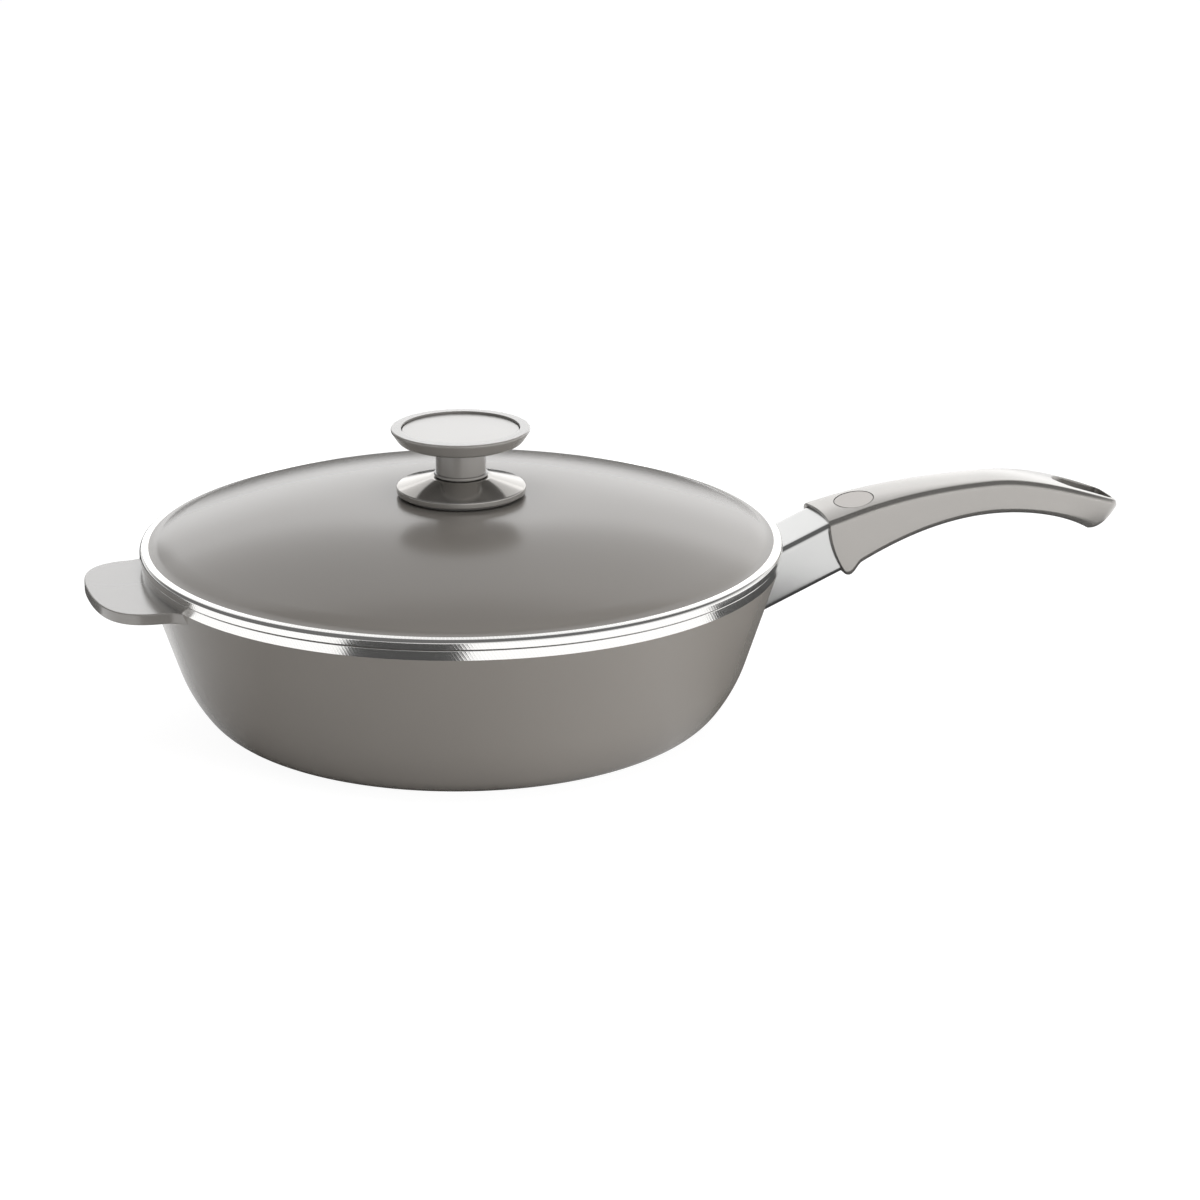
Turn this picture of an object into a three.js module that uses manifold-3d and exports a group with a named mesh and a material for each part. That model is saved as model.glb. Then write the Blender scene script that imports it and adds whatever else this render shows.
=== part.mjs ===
// A deep frying pan with a domed lid, a helper ear and a rising handle.
// Millimetres, +Z up. The origin is the middle of the base, on the surface the pan stands on,
// and the handle points along +X.

import * as THREE from 'three';
import { mergeVertices } from 'three/addons/utils/BufferGeometryUtils.js';
import Module from 'manifold-3d';

// Clearances
const GAP = 0.3;
const SKIRT_PLAY = 1.2;

// Pan body
const PAN_HEIGHT = 78.2;
const RIM_RADIUS = 144.2;
const BAND_HEIGHT = 4.4;
const WALL_LEAN = THREE.MathUtils.degToRad(18.3);
const HEEL_RADIUS = 24;
const HEEL_TURN = THREE.MathUtils.degToRad(53);
const BELLY_RADIUS = 70;
const WALL = 4.2;
const FLOOR = 6.5;
const INNER_CORNER = 15;
const RIM_EDGE = 0.5;

// Base disc, let into the underside inside a ring of the casting
const BASE_RING = 7.9;
const DISC_THICK = 1.5;
const GROOVE_COUNT = 3;
const GROOVE_PITCH = 16;
const GROOVE_WIDTH = 2.4;
const GROOVE_DEPTH = 0.5;

// Helper ear
const EAR_REACH = 26.3;
const EAR_WIDTH = 80;
const EAR_THICK = 5;
const EAR_SIDE_PULL = 5;
const EAR_NOSE_PULL = 14;
const EAR_FILLET = 5.5;
const EAR_EDGE = 0.9;

// Handle line: the middle of the grip's mouth, the lean of its face and the climb of the guard
const MOUTH_REACH = 31.5;
const MOUTH_DROP = 12.5;
const MOUTH_LEAN = THREE.MathUtils.degToRad(18.6);
const HANDLE_RISE = THREE.MathUtils.degToRad(22.5);

// Flame guard and the stub inside it
const GUARD_WIDTH = 31.5;
const GUARD_HEIGHT = 24.2;
const GUARD_CORNER = 2.6;
const GUARD_WALL = 1.5;
const GUARD_ENTRY = 3;
const TONGUE_WIDTH = 16;
const TONGUE_HEIGHT = 10;
const TONGUE_LENGTH = 28;
const TONGUE_CORNER = 1.3;
const TONGUE_ROOF = 1.4;

// Grip: lips round the mouth with a beak below, an arched back, a waist, a broad nose and a toe under it
const GRIP_LENGTH = 147;
const GRIP_LIP = 2.2;
const GRIP_SIDE = 1.9;
const GRIP_DEPTH = 16.6;
const GRIP_CROWN = 0.7;
const GRIP_EDGE = 2.6;
const MOUTH_DIP = 1.4;
const MOUTH_BULGE = 2;
const MOUTH_CORE = 0.5;
const BEAK_DEPTH = 1.8;
const BEAK_LENGTH = 8.7;
const BEAK_RISE = 5.1;
const BEAK_HOOK = 4.4;
const BEAK_HOOK_DROP = 2.7;
const BEAK_PULL = 3.2;
const BACK_SLOPE = 0.25;
const BELLY_SLOPE = 0.44;
const CREST_RISE = 10.6;
const CREST_FROM_TIP = 66;
const WAIST_WIDTH = 24.6;
const WAIST_TAPER = 0.1;
const NOSE_LENGTH = 5;
const NOSE_DROP = 14.3;
const NOSE_SLOPE = 0.38;
const NOSE_WIDTH = 26.4;
const NOSE_TAPER = 0.28;
const TOE_FROM_TIP = 17.6;
const TOE_DROP = 11.2;
const TOE_SLOPE = 0.62;
const TOE_ROUND = 7;
const TOE_SAG = 1.5;
const TIP_DROP = 19;
const TIP_DEPTH = 2;
const TIP_SETBACK = 1.2;
const TIP_WIDTH = 11.8;
const SLOT_LENGTH = 27.7;
const SLOT_WIDTH = 19.2;
const SLOT_END_WALL = 3.5;
const SLOT_CORNER = 4.5;

// Badge on the grip
const BADGE_ALONG = 18;
const BADGE_ACROSS = 22;
const BADGE_THICK = 1.4;
const BADGE_FROM_MOUTH = 19;
const BADGE_SUNK = 0.2;

// Grip screw
const SCREW_FROM_MOUTH = 19;
const SCREW_RADIUS = 2.2;
const SCREW_HEAD_RADIUS = 4.2;
const SCREW_HEAD = 2.4;
const SCREW_SEAT = 1.6;
const WASHER_RADIUS = 4.8;
const WASHER_THICK = 1;

// Lid
const LID_OVERHANG = 0.8;
const LID_EDGE = 3.5;
const LID_EDGE_RISE = 0.8;
const LID_EDGE_ROUND = 1;
const LID_BEVEL_WIDTH = 4.4;
const LID_BEVEL_RISE = 1.4;
const LID_FLANGE = 3;
const LID_FLANGE_RISE = 2;
const LID_THICK = 3.4;
const LID_RISE = 21.2;
const FLANGE_FILLET = 0.5;
const SHOULDER_RISE = 3.7;
const SHOULDER_WIDTH = 1.3;
const SKIRT_DEPTH = 5;
const SKIRT_THICK = 3;
const SEAT_MARGIN = 1;
const BOSS_RADIUS = 12;
const BOSS_DEPTH = 2.5;

// Knob
const GASKET_INSET = 2;
const GASKET_THICK = 0.8;
const FOOT_RADIUS = 29.2;
const FOOT_LIP = 3.2;
const FOOT_EDGE = 0.9;
const FOOT_HEIGHT = 7.5;
const FOOT_LAND = 1.2;
const SPIGOT_STEP = 2.5;
const SPIGOT_LENGTH = 5;
const STEM_RADIUS = 11.4;
const STEM_LENGTH = 14.9;
const STEM_FLARE = 2;
const BEAD_LIP = 0.9;
const BEAD_HEIGHT = 1.6;
const BEAD_ROUND = 0.6;
const CAP_RADIUS = 31.4;
const CAP_TAPER = 4.2;
const CAP_DEPTH = 7.2;
const CAP_DISH = 0.4;
const CAP_ROUND = 2;
const CAP_EDGE = 1;
const CAP_RIM = 5;
const INLAY_THICK = 1.1;
const INLAY_SUNK = 1;
const INSERT_RADIUS = 4.5;
const INSERT_LENGTH = 13;
const KNOB_SCREW_RADIUS = 2.3;
const KNOB_SCREW_GRIP = 11;
const KNOB_HEAD_RADIUS = 4.8;
const KNOB_HEAD = 3.3;
const KNOB_WASHER_RADIUS = 7;

// Facets round a full turn
const WIDE_TURN = 60;
const KNOB_TURN = 36;
const SMALL_TURN = 20;

// Steps along the curved stretches of an outline
const ROUND_STEPS = 2;
const HEEL_STEPS = 5;
const BELLY_STEPS = 3;
const DOME_STEPS = 8;
const EAR_STEPS = 7;
const OVAL_STEPS = 12;
const SLOT_STEPS = 5;
const GRIP_STEPS = [4, 10, 10, 5];
const SIDE_SHARES = [1 / 3, 2 / 3];

// Sizes worked out from the ones above
const FULL_TURN = Math.PI * 2;
const DOWN = -Math.PI / 2;
const WALL_TURN = Math.PI / 2 - WALL_LEAN;
const BAND_BOTTOM = PAN_HEIGHT - BAND_HEIGHT;
const LID_LINE = PAN_HEIGHT + GAP + LID_EDGE;

const wasm = await Module();
wasm.setup();

// Turns a closed geometry into a solid that can be joined and cut.
function solid(geometry) {
  geometry.deleteAttribute('normal');
  geometry.deleteAttribute('uv');
  const merged = mergeVertices(geometry, 1e-4);
  const corners = merged.index.array;
  const triangles = [];
  for (let i = 0; i < corners.length; i += 3) {
    const [a, b, c] = corners.slice(i, i + 3);
    if (a !== b && b !== c && c !== a) triangles.push(a, b, c);
  }
  return new wasm.Manifold(new wasm.Mesh({
    numProp: 3,
    vertProperties: new Float32Array(merged.attributes.position.array),
    triVerts: new Uint32Array(triangles),
  }));
}

// A named mesh of one finished solid.
function piece(name, body, finish) {
  const { vertProperties, triVerts } = body.getMesh();
  const geometry = new THREE.BufferGeometry();
  geometry.setAttribute('position', new THREE.BufferAttribute(vertProperties, 3));
  geometry.setIndex(new THREE.BufferAttribute(triVerts, 1));
  geometry.computeVertexNormals();
  const mesh = new THREE.Mesh(geometry, finish);
  mesh.name = name;
  return mesh;
}

function finish(color, roughness, metalness) {
  return new THREE.MeshStandardMaterial({ color, roughness, metalness });
}

// Points on an arc about a centre, between two angles.
function arc(centre, radius, from, to, steps) {
  const clockwise = to < from;
  return new THREE.EllipseCurve(centre.x, centre.y, radius, radius, from, to, clockwise).getPoints(steps);
}

// An outline through corners [x, y, radius], where a corner with a radius is rounded.
function outline(corners, steps = ROUND_STEPS) {
  return corners.flatMap(([x, y, radius = 0], i) => {
    const corner = new THREE.Vector2(x, y);
    if (radius === 0) return [corner];
    const [before, after] = [corners.at(i - 1), corners[(i + 1) % corners.length]]
      .map(([nx, ny]) => new THREE.Vector2(nx, ny).sub(corner).normalize());
    const reach = radius / Math.tan(before.angleTo(after) / 2);
    const start = corner.clone().addScaledVector(before, reach);
    const end = corner.clone().addScaledVector(after, reach);
    return new THREE.QuadraticBezierCurve(start, corner, end).getPoints(steps);
  });
}

// A solid of revolution about Z from a profile of radius and height.
function turned(profile, segments) {
  return solid(new THREE.LatheGeometry(profile, segments).rotateX(Math.PI / 2));
}

// A solid of revolution from a ring of corners that stays off the axis.
function turnedRing(corners, segments) {
  const profile = outline(corners);
  return turned([...profile, profile[0].clone()], segments);
}

// A round bar along Z, by its radius and the heights of its ends.
function rod(radius, from, to, segments = SMALL_TURN) {
  return new THREE.CylinderGeometry(radius, radius, to - from, segments)
    .rotateX(Math.PI / 2)
    .translate(0, 0, (from + to) / 2);
}

// A bar of rounded rectangular section along X.
function bar(width, height, corner, from, to) {
  const [y, z] = [width / 2, height / 2];
  const corners = [[-y, -z], [y, -z], [y, z], [-y, z]].map(([cy, cz]) => [cy, cz, corner]);
  const section = new THREE.Shape(outline(corners));
  const along = new THREE.Matrix4().makeBasis(
    new THREE.Vector3(0, 1, 0),
    new THREE.Vector3(0, 0, 1),
    new THREE.Vector3(1, 0, 0),
  );
  return new THREE.ExtrudeGeometry(section, { depth: to - from, bevelEnabled: false })
    .applyMatrix4(along)
    .translate(from, 0, 0);
}

// A closed skin over rings of points, with flat ends.
function loft(rings) {
  const count = rings[0].length;
  const triangles = [];
  for (let ring = 0; ring < rings.length - 1; ring += 1) {
    for (let i = 0; i < count; i += 1) {
      const [a, b] = [ring * count + i, ring * count + (i + 1) % count];
      triangles.push(a, b, a + count, b, b + count, a + count);
    }
  }
  const last = (rings.length - 1) * count;
  for (let i = 1; i < count - 1; i += 1) {
    triangles.push(0, i + 1, i, last, last + i, last + i + 1);
  }
  const geometry = new THREE.BufferGeometry().setFromPoints(rings.flat());
  geometry.setIndex(triangles);
  return geometry;
}

// Pan side: the heel arc rises from the base into the belly arc, and that into the leaning wall.
const heelStart = HEEL_TURN + DOWN;
const bellyEnd = WALL_TURN + DOWN;
const heelHeight = HEEL_RADIUS * (1 - Math.cos(HEEL_TURN));
const bellyHeight = BELLY_RADIUS * (Math.cos(HEEL_TURN) - Math.cos(WALL_TURN));
const heelSpread = HEEL_RADIUS * Math.sin(HEEL_TURN);
const bellySpread = BELLY_RADIUS * (Math.sin(WALL_TURN) - Math.sin(HEEL_TURN));
const wallSpread = (BAND_BOTTOM - heelHeight - bellyHeight) * Math.tan(WALL_LEAN);
const heelCentre = new THREE.Vector2(RIM_RADIUS - wallSpread - bellySpread - heelSpread, HEEL_RADIUS);
const bellyCentre = new THREE.Vector2(Math.sin(HEEL_TURN), -Math.cos(HEEL_TURN))
  .multiplyScalar(HEEL_RADIUS - BELLY_RADIUS)
  .add(heelCentre);
const discRadius = heelCentre.x - BASE_RING;

// Outside of the pan from the base to the turned band, moved outwards by an allowance.
function panSide(allowance) {
  return [
    ...arc(heelCentre, HEEL_RADIUS + allowance, DOWN, heelStart, HEEL_STEPS),
    ...arc(bellyCentre, BELLY_RADIUS + allowance, heelStart, bellyEnd, BELLY_STEPS).slice(1),
    new THREE.Vector2(RIM_RADIUS + allowance / Math.cos(WALL_LEAN), BAND_BOTTOM),
  ];
}

// Inside of the pan from the middle of the floor, out through the mouth.
const mouthRadius = RIM_RADIUS + BAND_HEIGHT * Math.tan(WALL_LEAN) - WALL / Math.cos(WALL_LEAN);
function cavitySide() {
  const bellyRadius = BELLY_RADIUS - WALL;
  const cornerDrop = bellyCentre.y - FLOOR - INNER_CORNER;
  const cornerTurn = Math.acos(cornerDrop / (bellyRadius - INNER_CORNER));
  const cornerCentre = new THREE.Vector2(
    bellyCentre.x + (bellyRadius - INNER_CORNER) * Math.sin(cornerTurn),
    FLOOR + INNER_CORNER,
  );
  return [
    new THREE.Vector2(0, FLOOR),
    ...arc(cornerCentre, INNER_CORNER, DOWN, cornerTurn + DOWN, HEEL_STEPS),
    ...arc(bellyCentre, bellyRadius, cornerTurn + DOWN, bellyEnd, BELLY_STEPS).slice(1),
    new THREE.Vector2(mouthRadius - RIM_EDGE * Math.tan(WALL_LEAN), PAN_HEIGHT - RIM_EDGE),
    new THREE.Vector2(mouthRadius + 2 * RIM_EDGE, PAN_HEIGHT + RIM_EDGE),
    new THREE.Vector2(0, PAN_HEIGHT + RIM_EDGE),
  ];
}

// The handle's own frame: X runs out along the guard from the middle of the grip's mouth.
const handle = new THREE.Group();
handle.position.set(RIM_RADIUS + MOUTH_REACH, 0, PAN_HEIGHT - MOUTH_DROP);
handle.rotation.y = -HANDLE_RISE;
handle.updateMatrix();
const handleInverse = handle.matrix.clone().invert();
const guardRoot = -(MOUTH_REACH + GUARD_HEIGHT) / Math.cos(HANDLE_RISE);
const boreTop = TONGUE_HEIGHT / 2 - TONGUE_ROOF;

function ear() {
  const tip = RIM_RADIUS + EAR_REACH;
  const half = EAR_WIDTH / 2;
  const inner = RIM_RADIUS - WALL / 2;
  const rootAngle = Math.asin((half + EAR_FILLET) / inner);
  const root = new THREE.Vector2(inner * Math.cos(rootAngle), half + EAR_FILLET);
  const [fillet, side] = [root.x + EAR_FILLET, root.x + 2 * EAR_FILLET];
  const [sidePull, nosePull] = [tip - EAR_SIDE_PULL, half - EAR_NOSE_PULL];
  const shape = new THREE.Shape()
    .moveTo(root.x, root.y)
    .quadraticCurveTo(fillet, half, side, half)
    .bezierCurveTo(sidePull, half, tip, nosePull, tip, 0)
    .bezierCurveTo(tip, -nosePull, sidePull, -half, side, -half)
    .quadraticCurveTo(fillet, -half, root.x, -root.y);
  const plate = new THREE.ExtrudeGeometry(shape, {
    depth: EAR_THICK - 2 * EAR_EDGE,
    bevelThickness: EAR_EDGE,
    bevelSize: EAR_EDGE,
    bevelOffset: -EAR_EDGE,
    bevelSegments: ROUND_STEPS,
    curveSegments: EAR_STEPS,
  });
  return plate.translate(0, 0, BAND_BOTTOM - EAR_THICK + EAR_EDGE).rotateZ(Math.PI);
}

// Stub cast on the pan: it fills the guard, then narrows to the tongue inside the grip.
function stub() {
  const inset = 2 * (GUARD_WALL + GAP);
  const root = bar(GUARD_WIDTH - inset, GUARD_HEIGHT - inset, TONGUE_CORNER, guardRoot, GUARD_ENTRY - GAP);
  const tongue = bar(TONGUE_WIDTH, TONGUE_HEIGHT, TONGUE_CORNER, 0, TONGUE_LENGTH);
  const bore = rod(SCREW_RADIUS + GAP, -TONGUE_HEIGHT, boreTop).translate(SCREW_FROM_MOUTH, 0, 0);
  return solid(root.applyMatrix4(handle.matrix))
    .add(solid(tongue.applyMatrix4(handle.matrix)))
    .subtract(solid(bore.applyMatrix4(handle.matrix)));
}

// The cast outside with its ear and stub, hollowed from above.
function panBody() {
  const recess = DISC_THICK + GAP;
  const outside = turned([
    new THREE.Vector2(0, recess),
    new THREE.Vector2(discRadius + GAP, recess),
    new THREE.Vector2(discRadius + GAP, 0),
    ...panSide(0),
    new THREE.Vector2(RIM_RADIUS, PAN_HEIGHT - RIM_EDGE),
    new THREE.Vector2(RIM_RADIUS - RIM_EDGE, PAN_HEIGHT),
    new THREE.Vector2(0, PAN_HEIGHT),
  ], WIDE_TURN);
  return outside
    .add(solid(ear()))
    .add(stub())
    .subtract(turned(cavitySide(), WIDE_TURN));
}

function baseDisc() {
  const grooves = Array.from({ length: GROOVE_COUNT }, (_, i) => {
    const radius = discRadius - (GROOVE_COUNT - i) * GROOVE_PITCH;
    return [
      new THREE.Vector2(radius - GROOVE_WIDTH / 2, 0),
      new THREE.Vector2(radius, GROOVE_DEPTH),
      new THREE.Vector2(radius + GROOVE_WIDTH / 2, 0),
    ];
  }).flat();
  return turned([
    new THREE.Vector2(0, 0),
    ...grooves,
    new THREE.Vector2(discRadius, 0),
    new THREE.Vector2(discRadius, DISC_THICK),
    new THREE.Vector2(0, DISC_THICK),
  ], WIDE_TURN);
}

// Sleeve over the stub, scribed to the pan wall at its root.
function flameGuard() {
  const inset = 2 * GUARD_WALL;
  const outside = bar(GUARD_WIDTH, GUARD_HEIGHT, GUARD_CORNER, guardRoot, GUARD_ENTRY);
  const inside = bar(
    GUARD_WIDTH - inset,
    GUARD_HEIGHT - inset,
    GUARD_CORNER - GUARD_WALL,
    2 * guardRoot,
    2 * GUARD_ENTRY,
  );
  const side = [...panSide(GAP), new THREE.Vector2(RIM_RADIUS + GAP, PAN_HEIGHT)];
  const wallCut = new THREE.LatheGeometry(
    [new THREE.Vector2(0, -GAP), ...side, new THREE.Vector2(0, PAN_HEIGHT)],
    WIDE_TURN,
  ).rotateX(Math.PI / 2);
  return solid(outside)
    .subtract(solid(inside))
    .subtract(solid(wallCut.applyMatrix4(handleInverse)));
}

// Adds a smooth stretch to an edge, by the slopes at which it leaves and arrives.
function sweep(edge, x, y, leaving, arriving) {
  const { x: fromX, y: fromY } = edge.currentPoint;
  const third = (x - fromX) / 3;
  return edge.bezierCurveTo(fromX + third, fromY + leaving * third, x - third, y - arriving * third, x, y);
}

// Edges of the grip from mouth to tip, each in four stretches: mouth, rise, fall and end.
const gripTip = handle.position.x + GRIP_LENGTH;
const crest = gripTip - CREST_FROM_TIP;
const nose = gripTip - NOSE_LENGTH;
const toe = gripTip - TOE_FROM_TIP;
const mouthUp = new THREE.Vector2(-Math.sin(MOUTH_LEAN), Math.cos(MOUTH_LEAN));
const mouthInward = new THREE.Vector2(Math.cos(MOUTH_LEAN), Math.sin(MOUTH_LEAN));
const mouthCentre = new THREE.Vector2(handle.position.x, handle.position.z);
const mouthTop = mouthCentre.clone().addScaledVector(mouthUp, GUARD_HEIGHT / 2 + GRIP_LIP);
const mouthBottom = mouthCentre.clone().addScaledVector(mouthUp, -GUARD_HEIGHT / 2 - BEAK_DEPTH);
const mouthEnd = mouthTop.x + BEAK_LENGTH;
const archTop = mouthTop.y + CREST_RISE;
const archBottom = archTop - GRIP_DEPTH;
const toeHeight = archBottom - TOE_DROP;
const tipHeight = archTop - TIP_DROP;

function gripTop() {
  const edge = new THREE.Path().moveTo(mouthTop.x, mouthTop.y);
  sweep(edge, mouthEnd, mouthTop.y + BACK_SLOPE * BEAK_LENGTH, BACK_SLOPE, BACK_SLOPE);
  sweep(edge, crest, archTop, BACK_SLOPE, 0);
  sweep(edge, nose, archTop - NOSE_DROP, 0, -NOSE_SLOPE);
  return edge.quadraticCurveTo(gripTip - TIP_SETBACK, archTop - NOSE_DROP - TIP_SETBACK, gripTip, tipHeight);
}

function gripBottom() {
  const [beakEnd, beakTop] = [mouthBottom.x + BEAK_LENGTH, mouthBottom.y + BEAK_RISE];
  const edge = new THREE.Path().moveTo(mouthBottom.x, mouthBottom.y).bezierCurveTo(
    mouthBottom.x + BEAK_HOOK,
    mouthBottom.y - BEAK_HOOK_DROP,
    beakEnd - BEAK_PULL,
    beakTop - BELLY_SLOPE * BEAK_PULL,
    beakEnd,
    beakTop,
  );
  sweep(edge, crest, archBottom, BELLY_SLOPE, 0);
  sweep(edge, toe, toeHeight, 0, -TOE_SLOPE);
  return edge.quadraticCurveTo(
    toe + TOE_ROUND,
    toeHeight - TOE_SAG,
    gripTip - TIP_SETBACK,
    tipHeight - TIP_DEPTH,
  );
}

// Half the grip's width, over the same four stretches.
function gripHalf() {
  const mouth = GUARD_WIDTH / 2 + GRIP_SIDE;
  const edge = new THREE.Path().moveTo(mouthTop.x, mouth);
  sweep(edge, mouthEnd, mouth - WAIST_TAPER * BEAK_LENGTH / 2, 0, -WAIST_TAPER);
  sweep(edge, crest, WAIST_WIDTH / 2, -WAIST_TAPER, 0);
  sweep(edge, nose, NOSE_WIDTH / 2, 0, -NOSE_TAPER);
  return edge.quadraticCurveTo(gripTip - TIP_SETBACK, NOSE_WIDTH / 2 - TIP_SETBACK, gripTip, TIP_WIDTH / 2);
}

const [backEdge, bellyEdge, halfWidth] = [gripTop(), gripBottom(), gripHalf()];

// How far the mouth's face lies behind its plane: it dips along the top and bulges at the sides.
function mouthShift(across, level) {
  const dip = MOUTH_DIP * (1 - across ** 2) * level;
  return dip - MOUTH_BULGE * (1 - (2 * level - 1) ** 2) * Math.abs(across);
}

// One section of the grip: straight sides, a gently crowned top and edges rounded as far as it has room.
// On the first stretch the curve of the mouth's face fades out.
function gripSection(stretch, share) {
  const [top, bottom, { y: half }] = [backEdge, bellyEdge, halfWidth]
    .map((edge) => edge.curves[stretch].getPoint(share));
  const rise = top.clone().sub(bottom);
  const depth = rise.length();
  const edge = Math.min(GRIP_EDGE, depth / 3, half / 3);
  const crown = Math.min(GRIP_CROWN, depth / 4);
  const levels = SIDE_SHARES.map((part) => edge + part * (depth - crown - 2 * edge));
  const fade = stretch === 0 ? (1 - share) ** 2 : 0;
  rise.normalize();
  const ring = outline([
    [-half, 0, edge],
    [half, 0, edge],
    ...levels.map((level) => [half, level]),
    [half, depth - crown, edge],
    [0, depth],
    [-half, depth - crown, edge],
    ...levels.toReversed().map((level) => [-half, level]),
  ]);
  return ring.map(({ x, y }) => {
    const place = bottom.clone()
      .addScaledVector(rise, y)
      .addScaledVector(mouthInward, fade * mouthShift(x / half, y / depth));
    return new THREE.Vector3(place.x, x, place.y);
  });
}

// All sections from the middle of the mouth to the tip, with the place where two stretches meet counted once.
function gripSections() {
  const mouth = gripSection(0, 0);
  const core = mouth.map((point) => handle.position.clone().lerp(point, MOUTH_CORE));
  const rest = GRIP_STEPS.flatMap((steps, stretch) => (
    Array.from({ length: steps }, (_, i) => gripSection(stretch, (i + 1) / steps))
  ));
  return [core, mouth, ...rest];
}

// A place on top of the grip, a distance from its mouth, with X along the grip and Z out of it.
function onGrip(distance) {
  const share = distance / backEdge.getLength();
  const [place, run] = [backEdge.getPointAt(share), backEdge.getTangentAt(share)];
  return new THREE.Matrix4()
    .makeTranslation(place.x, 0, place.y)
    .multiply(new THREE.Matrix4().makeRotationY(-Math.atan2(run.y, run.x)));
}

function oval(along, across, from, to) {
  const shape = new THREE.Shape().absellipse(0, 0, along / 2, across / 2, 0, FULL_TURN);
  const depth = to - from;
  return new THREE.ExtrudeGeometry(shape, { depth, bevelEnabled: false, curveSegments: OVAL_STEPS })
    .translate(0, 0, from);
}

// Hanging slot, cut upright through the nose: round at the pan's side, with small corners at the tip.
function slot() {
  const half = SLOT_WIDTH / 2;
  const end = gripTip - SLOT_END_WALL;
  const [near, far, corner] = [end - SLOT_LENGTH + half, end - SLOT_CORNER, half - SLOT_CORNER];
  const shape = new THREE.Shape()
    .absarc(far, -corner, SLOT_CORNER, DOWN, 0)
    .absarc(far, corner, SLOT_CORNER, 0, -DOWN)
    .absarc(near, 0, half, -DOWN, -3 * DOWN);
  const depth = archTop + GRIP_DEPTH;
  return new THREE.ExtrudeGeometry(shape, { depth, bevelEnabled: false, curveSegments: SLOT_STEPS });
}

const screwSeat = -TONGUE_HEIGHT / 2 - GAP - SCREW_SEAT;
const badgeFrame = onGrip(BADGE_FROM_MOUTH);

function handleGrip() {
  const guardPocket = bar(
    GUARD_WIDTH + 2 * GAP,
    GUARD_HEIGHT + 2 * GAP,
    GUARD_CORNER + GAP,
    guardRoot,
    GUARD_ENTRY + GAP,
  );
  const tonguePocket = bar(
    TONGUE_WIDTH + 2 * GAP,
    TONGUE_HEIGHT + 2 * GAP,
    TONGUE_CORNER + GAP,
    0,
    TONGUE_LENGTH + GAP,
  );
  const screwHole = rod(SCREW_RADIUS + GAP, 2 * screwSeat, 0).translate(SCREW_FROM_MOUTH, 0, 0);
  const headHole = rod(WASHER_RADIUS + GAP, -GUARD_HEIGHT, screwSeat).translate(SCREW_FROM_MOUTH, 0, 0);
  const badgeFloor = -BADGE_SUNK - BADGE_THICK - GAP;
  const badgeHole = oval(BADGE_ALONG + 2 * GAP, BADGE_ACROSS + 2 * GAP, badgeFloor, GRIP_DEPTH);
  const cuts = [guardPocket, tonguePocket, screwHole, headHole].map((cut) => cut.applyMatrix4(handle.matrix));
  return [...cuts, badgeHole.applyMatrix4(badgeFrame), slot()]
    .reduce((body, cut) => body.subtract(solid(cut)), solid(loft(gripSections())));
}

function handleBadge() {
  const top = -BADGE_SUNK;
  return solid(oval(BADGE_ALONG, BADGE_ACROSS, top - BADGE_THICK, top).applyMatrix4(badgeFrame));
}

function gripWasher() {
  const top = screwSeat - GAP;
  const bore = SCREW_RADIUS + GAP;
  return turnedRing(
    [[bore, top - WASHER_THICK], [WASHER_RADIUS, top - WASHER_THICK], [WASHER_RADIUS, top], [bore, top]],
    SMALL_TURN,
  );
}

// A screw along Z, with its head below and the end of its shank above.
function screw(radius, headRadius, headHeight, shoulder, end) {
  const crown = headHeight / 3;
  return turned([
    new THREE.Vector2(0, shoulder - headHeight),
    new THREE.Vector2(headRadius - crown, shoulder - headHeight),
    new THREE.Vector2(headRadius, shoulder - headHeight + crown),
    new THREE.Vector2(headRadius, shoulder),
    new THREE.Vector2(radius, shoulder),
    new THREE.Vector2(radius, end),
    new THREE.Vector2(0, end),
  ], SMALL_TURN);
}

function gripScrew() {
  const shoulder = screwSeat - WASHER_THICK - 2 * GAP;
  return screw(SCREW_RADIUS, SCREW_HEAD_RADIUS, SCREW_HEAD, shoulder, boreTop - GAP);
}

// Lid heights are measured from the line where its outer edge begins to round over.
const skirtRadius = mouthRadius - (SKIRT_DEPTH + GAP) * Math.tan(WALL_LEAN) - SKIRT_PLAY;
const skirtInner = skirtRadius - SKIRT_THICK;
const lidRadius = RIM_RADIUS + LID_OVERHANG;
const bevelInner = lidRadius - LID_BEVEL_WIDTH;
const flangeInner = bevelInner - LID_FLANGE;
const shoulderRadius = flangeInner - SHOULDER_WIDTH;
const seatRadius = FOOT_RADIUS + SEAT_MARGIN;
const domeRun = shoulderRadius - seatRadius;
const domeDrop = LID_RISE - SHOULDER_RISE;
const domeRadius = (domeRun ** 2 + domeDrop ** 2) / (2 * domeDrop);
const domeCentre = new THREE.Vector2(seatRadius, LID_RISE - domeRadius);
const screwBore = KNOB_SCREW_RADIUS + 2 * GAP;
const bossBottom = LID_RISE - LID_THICK - BOSS_DEPTH;

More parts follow.
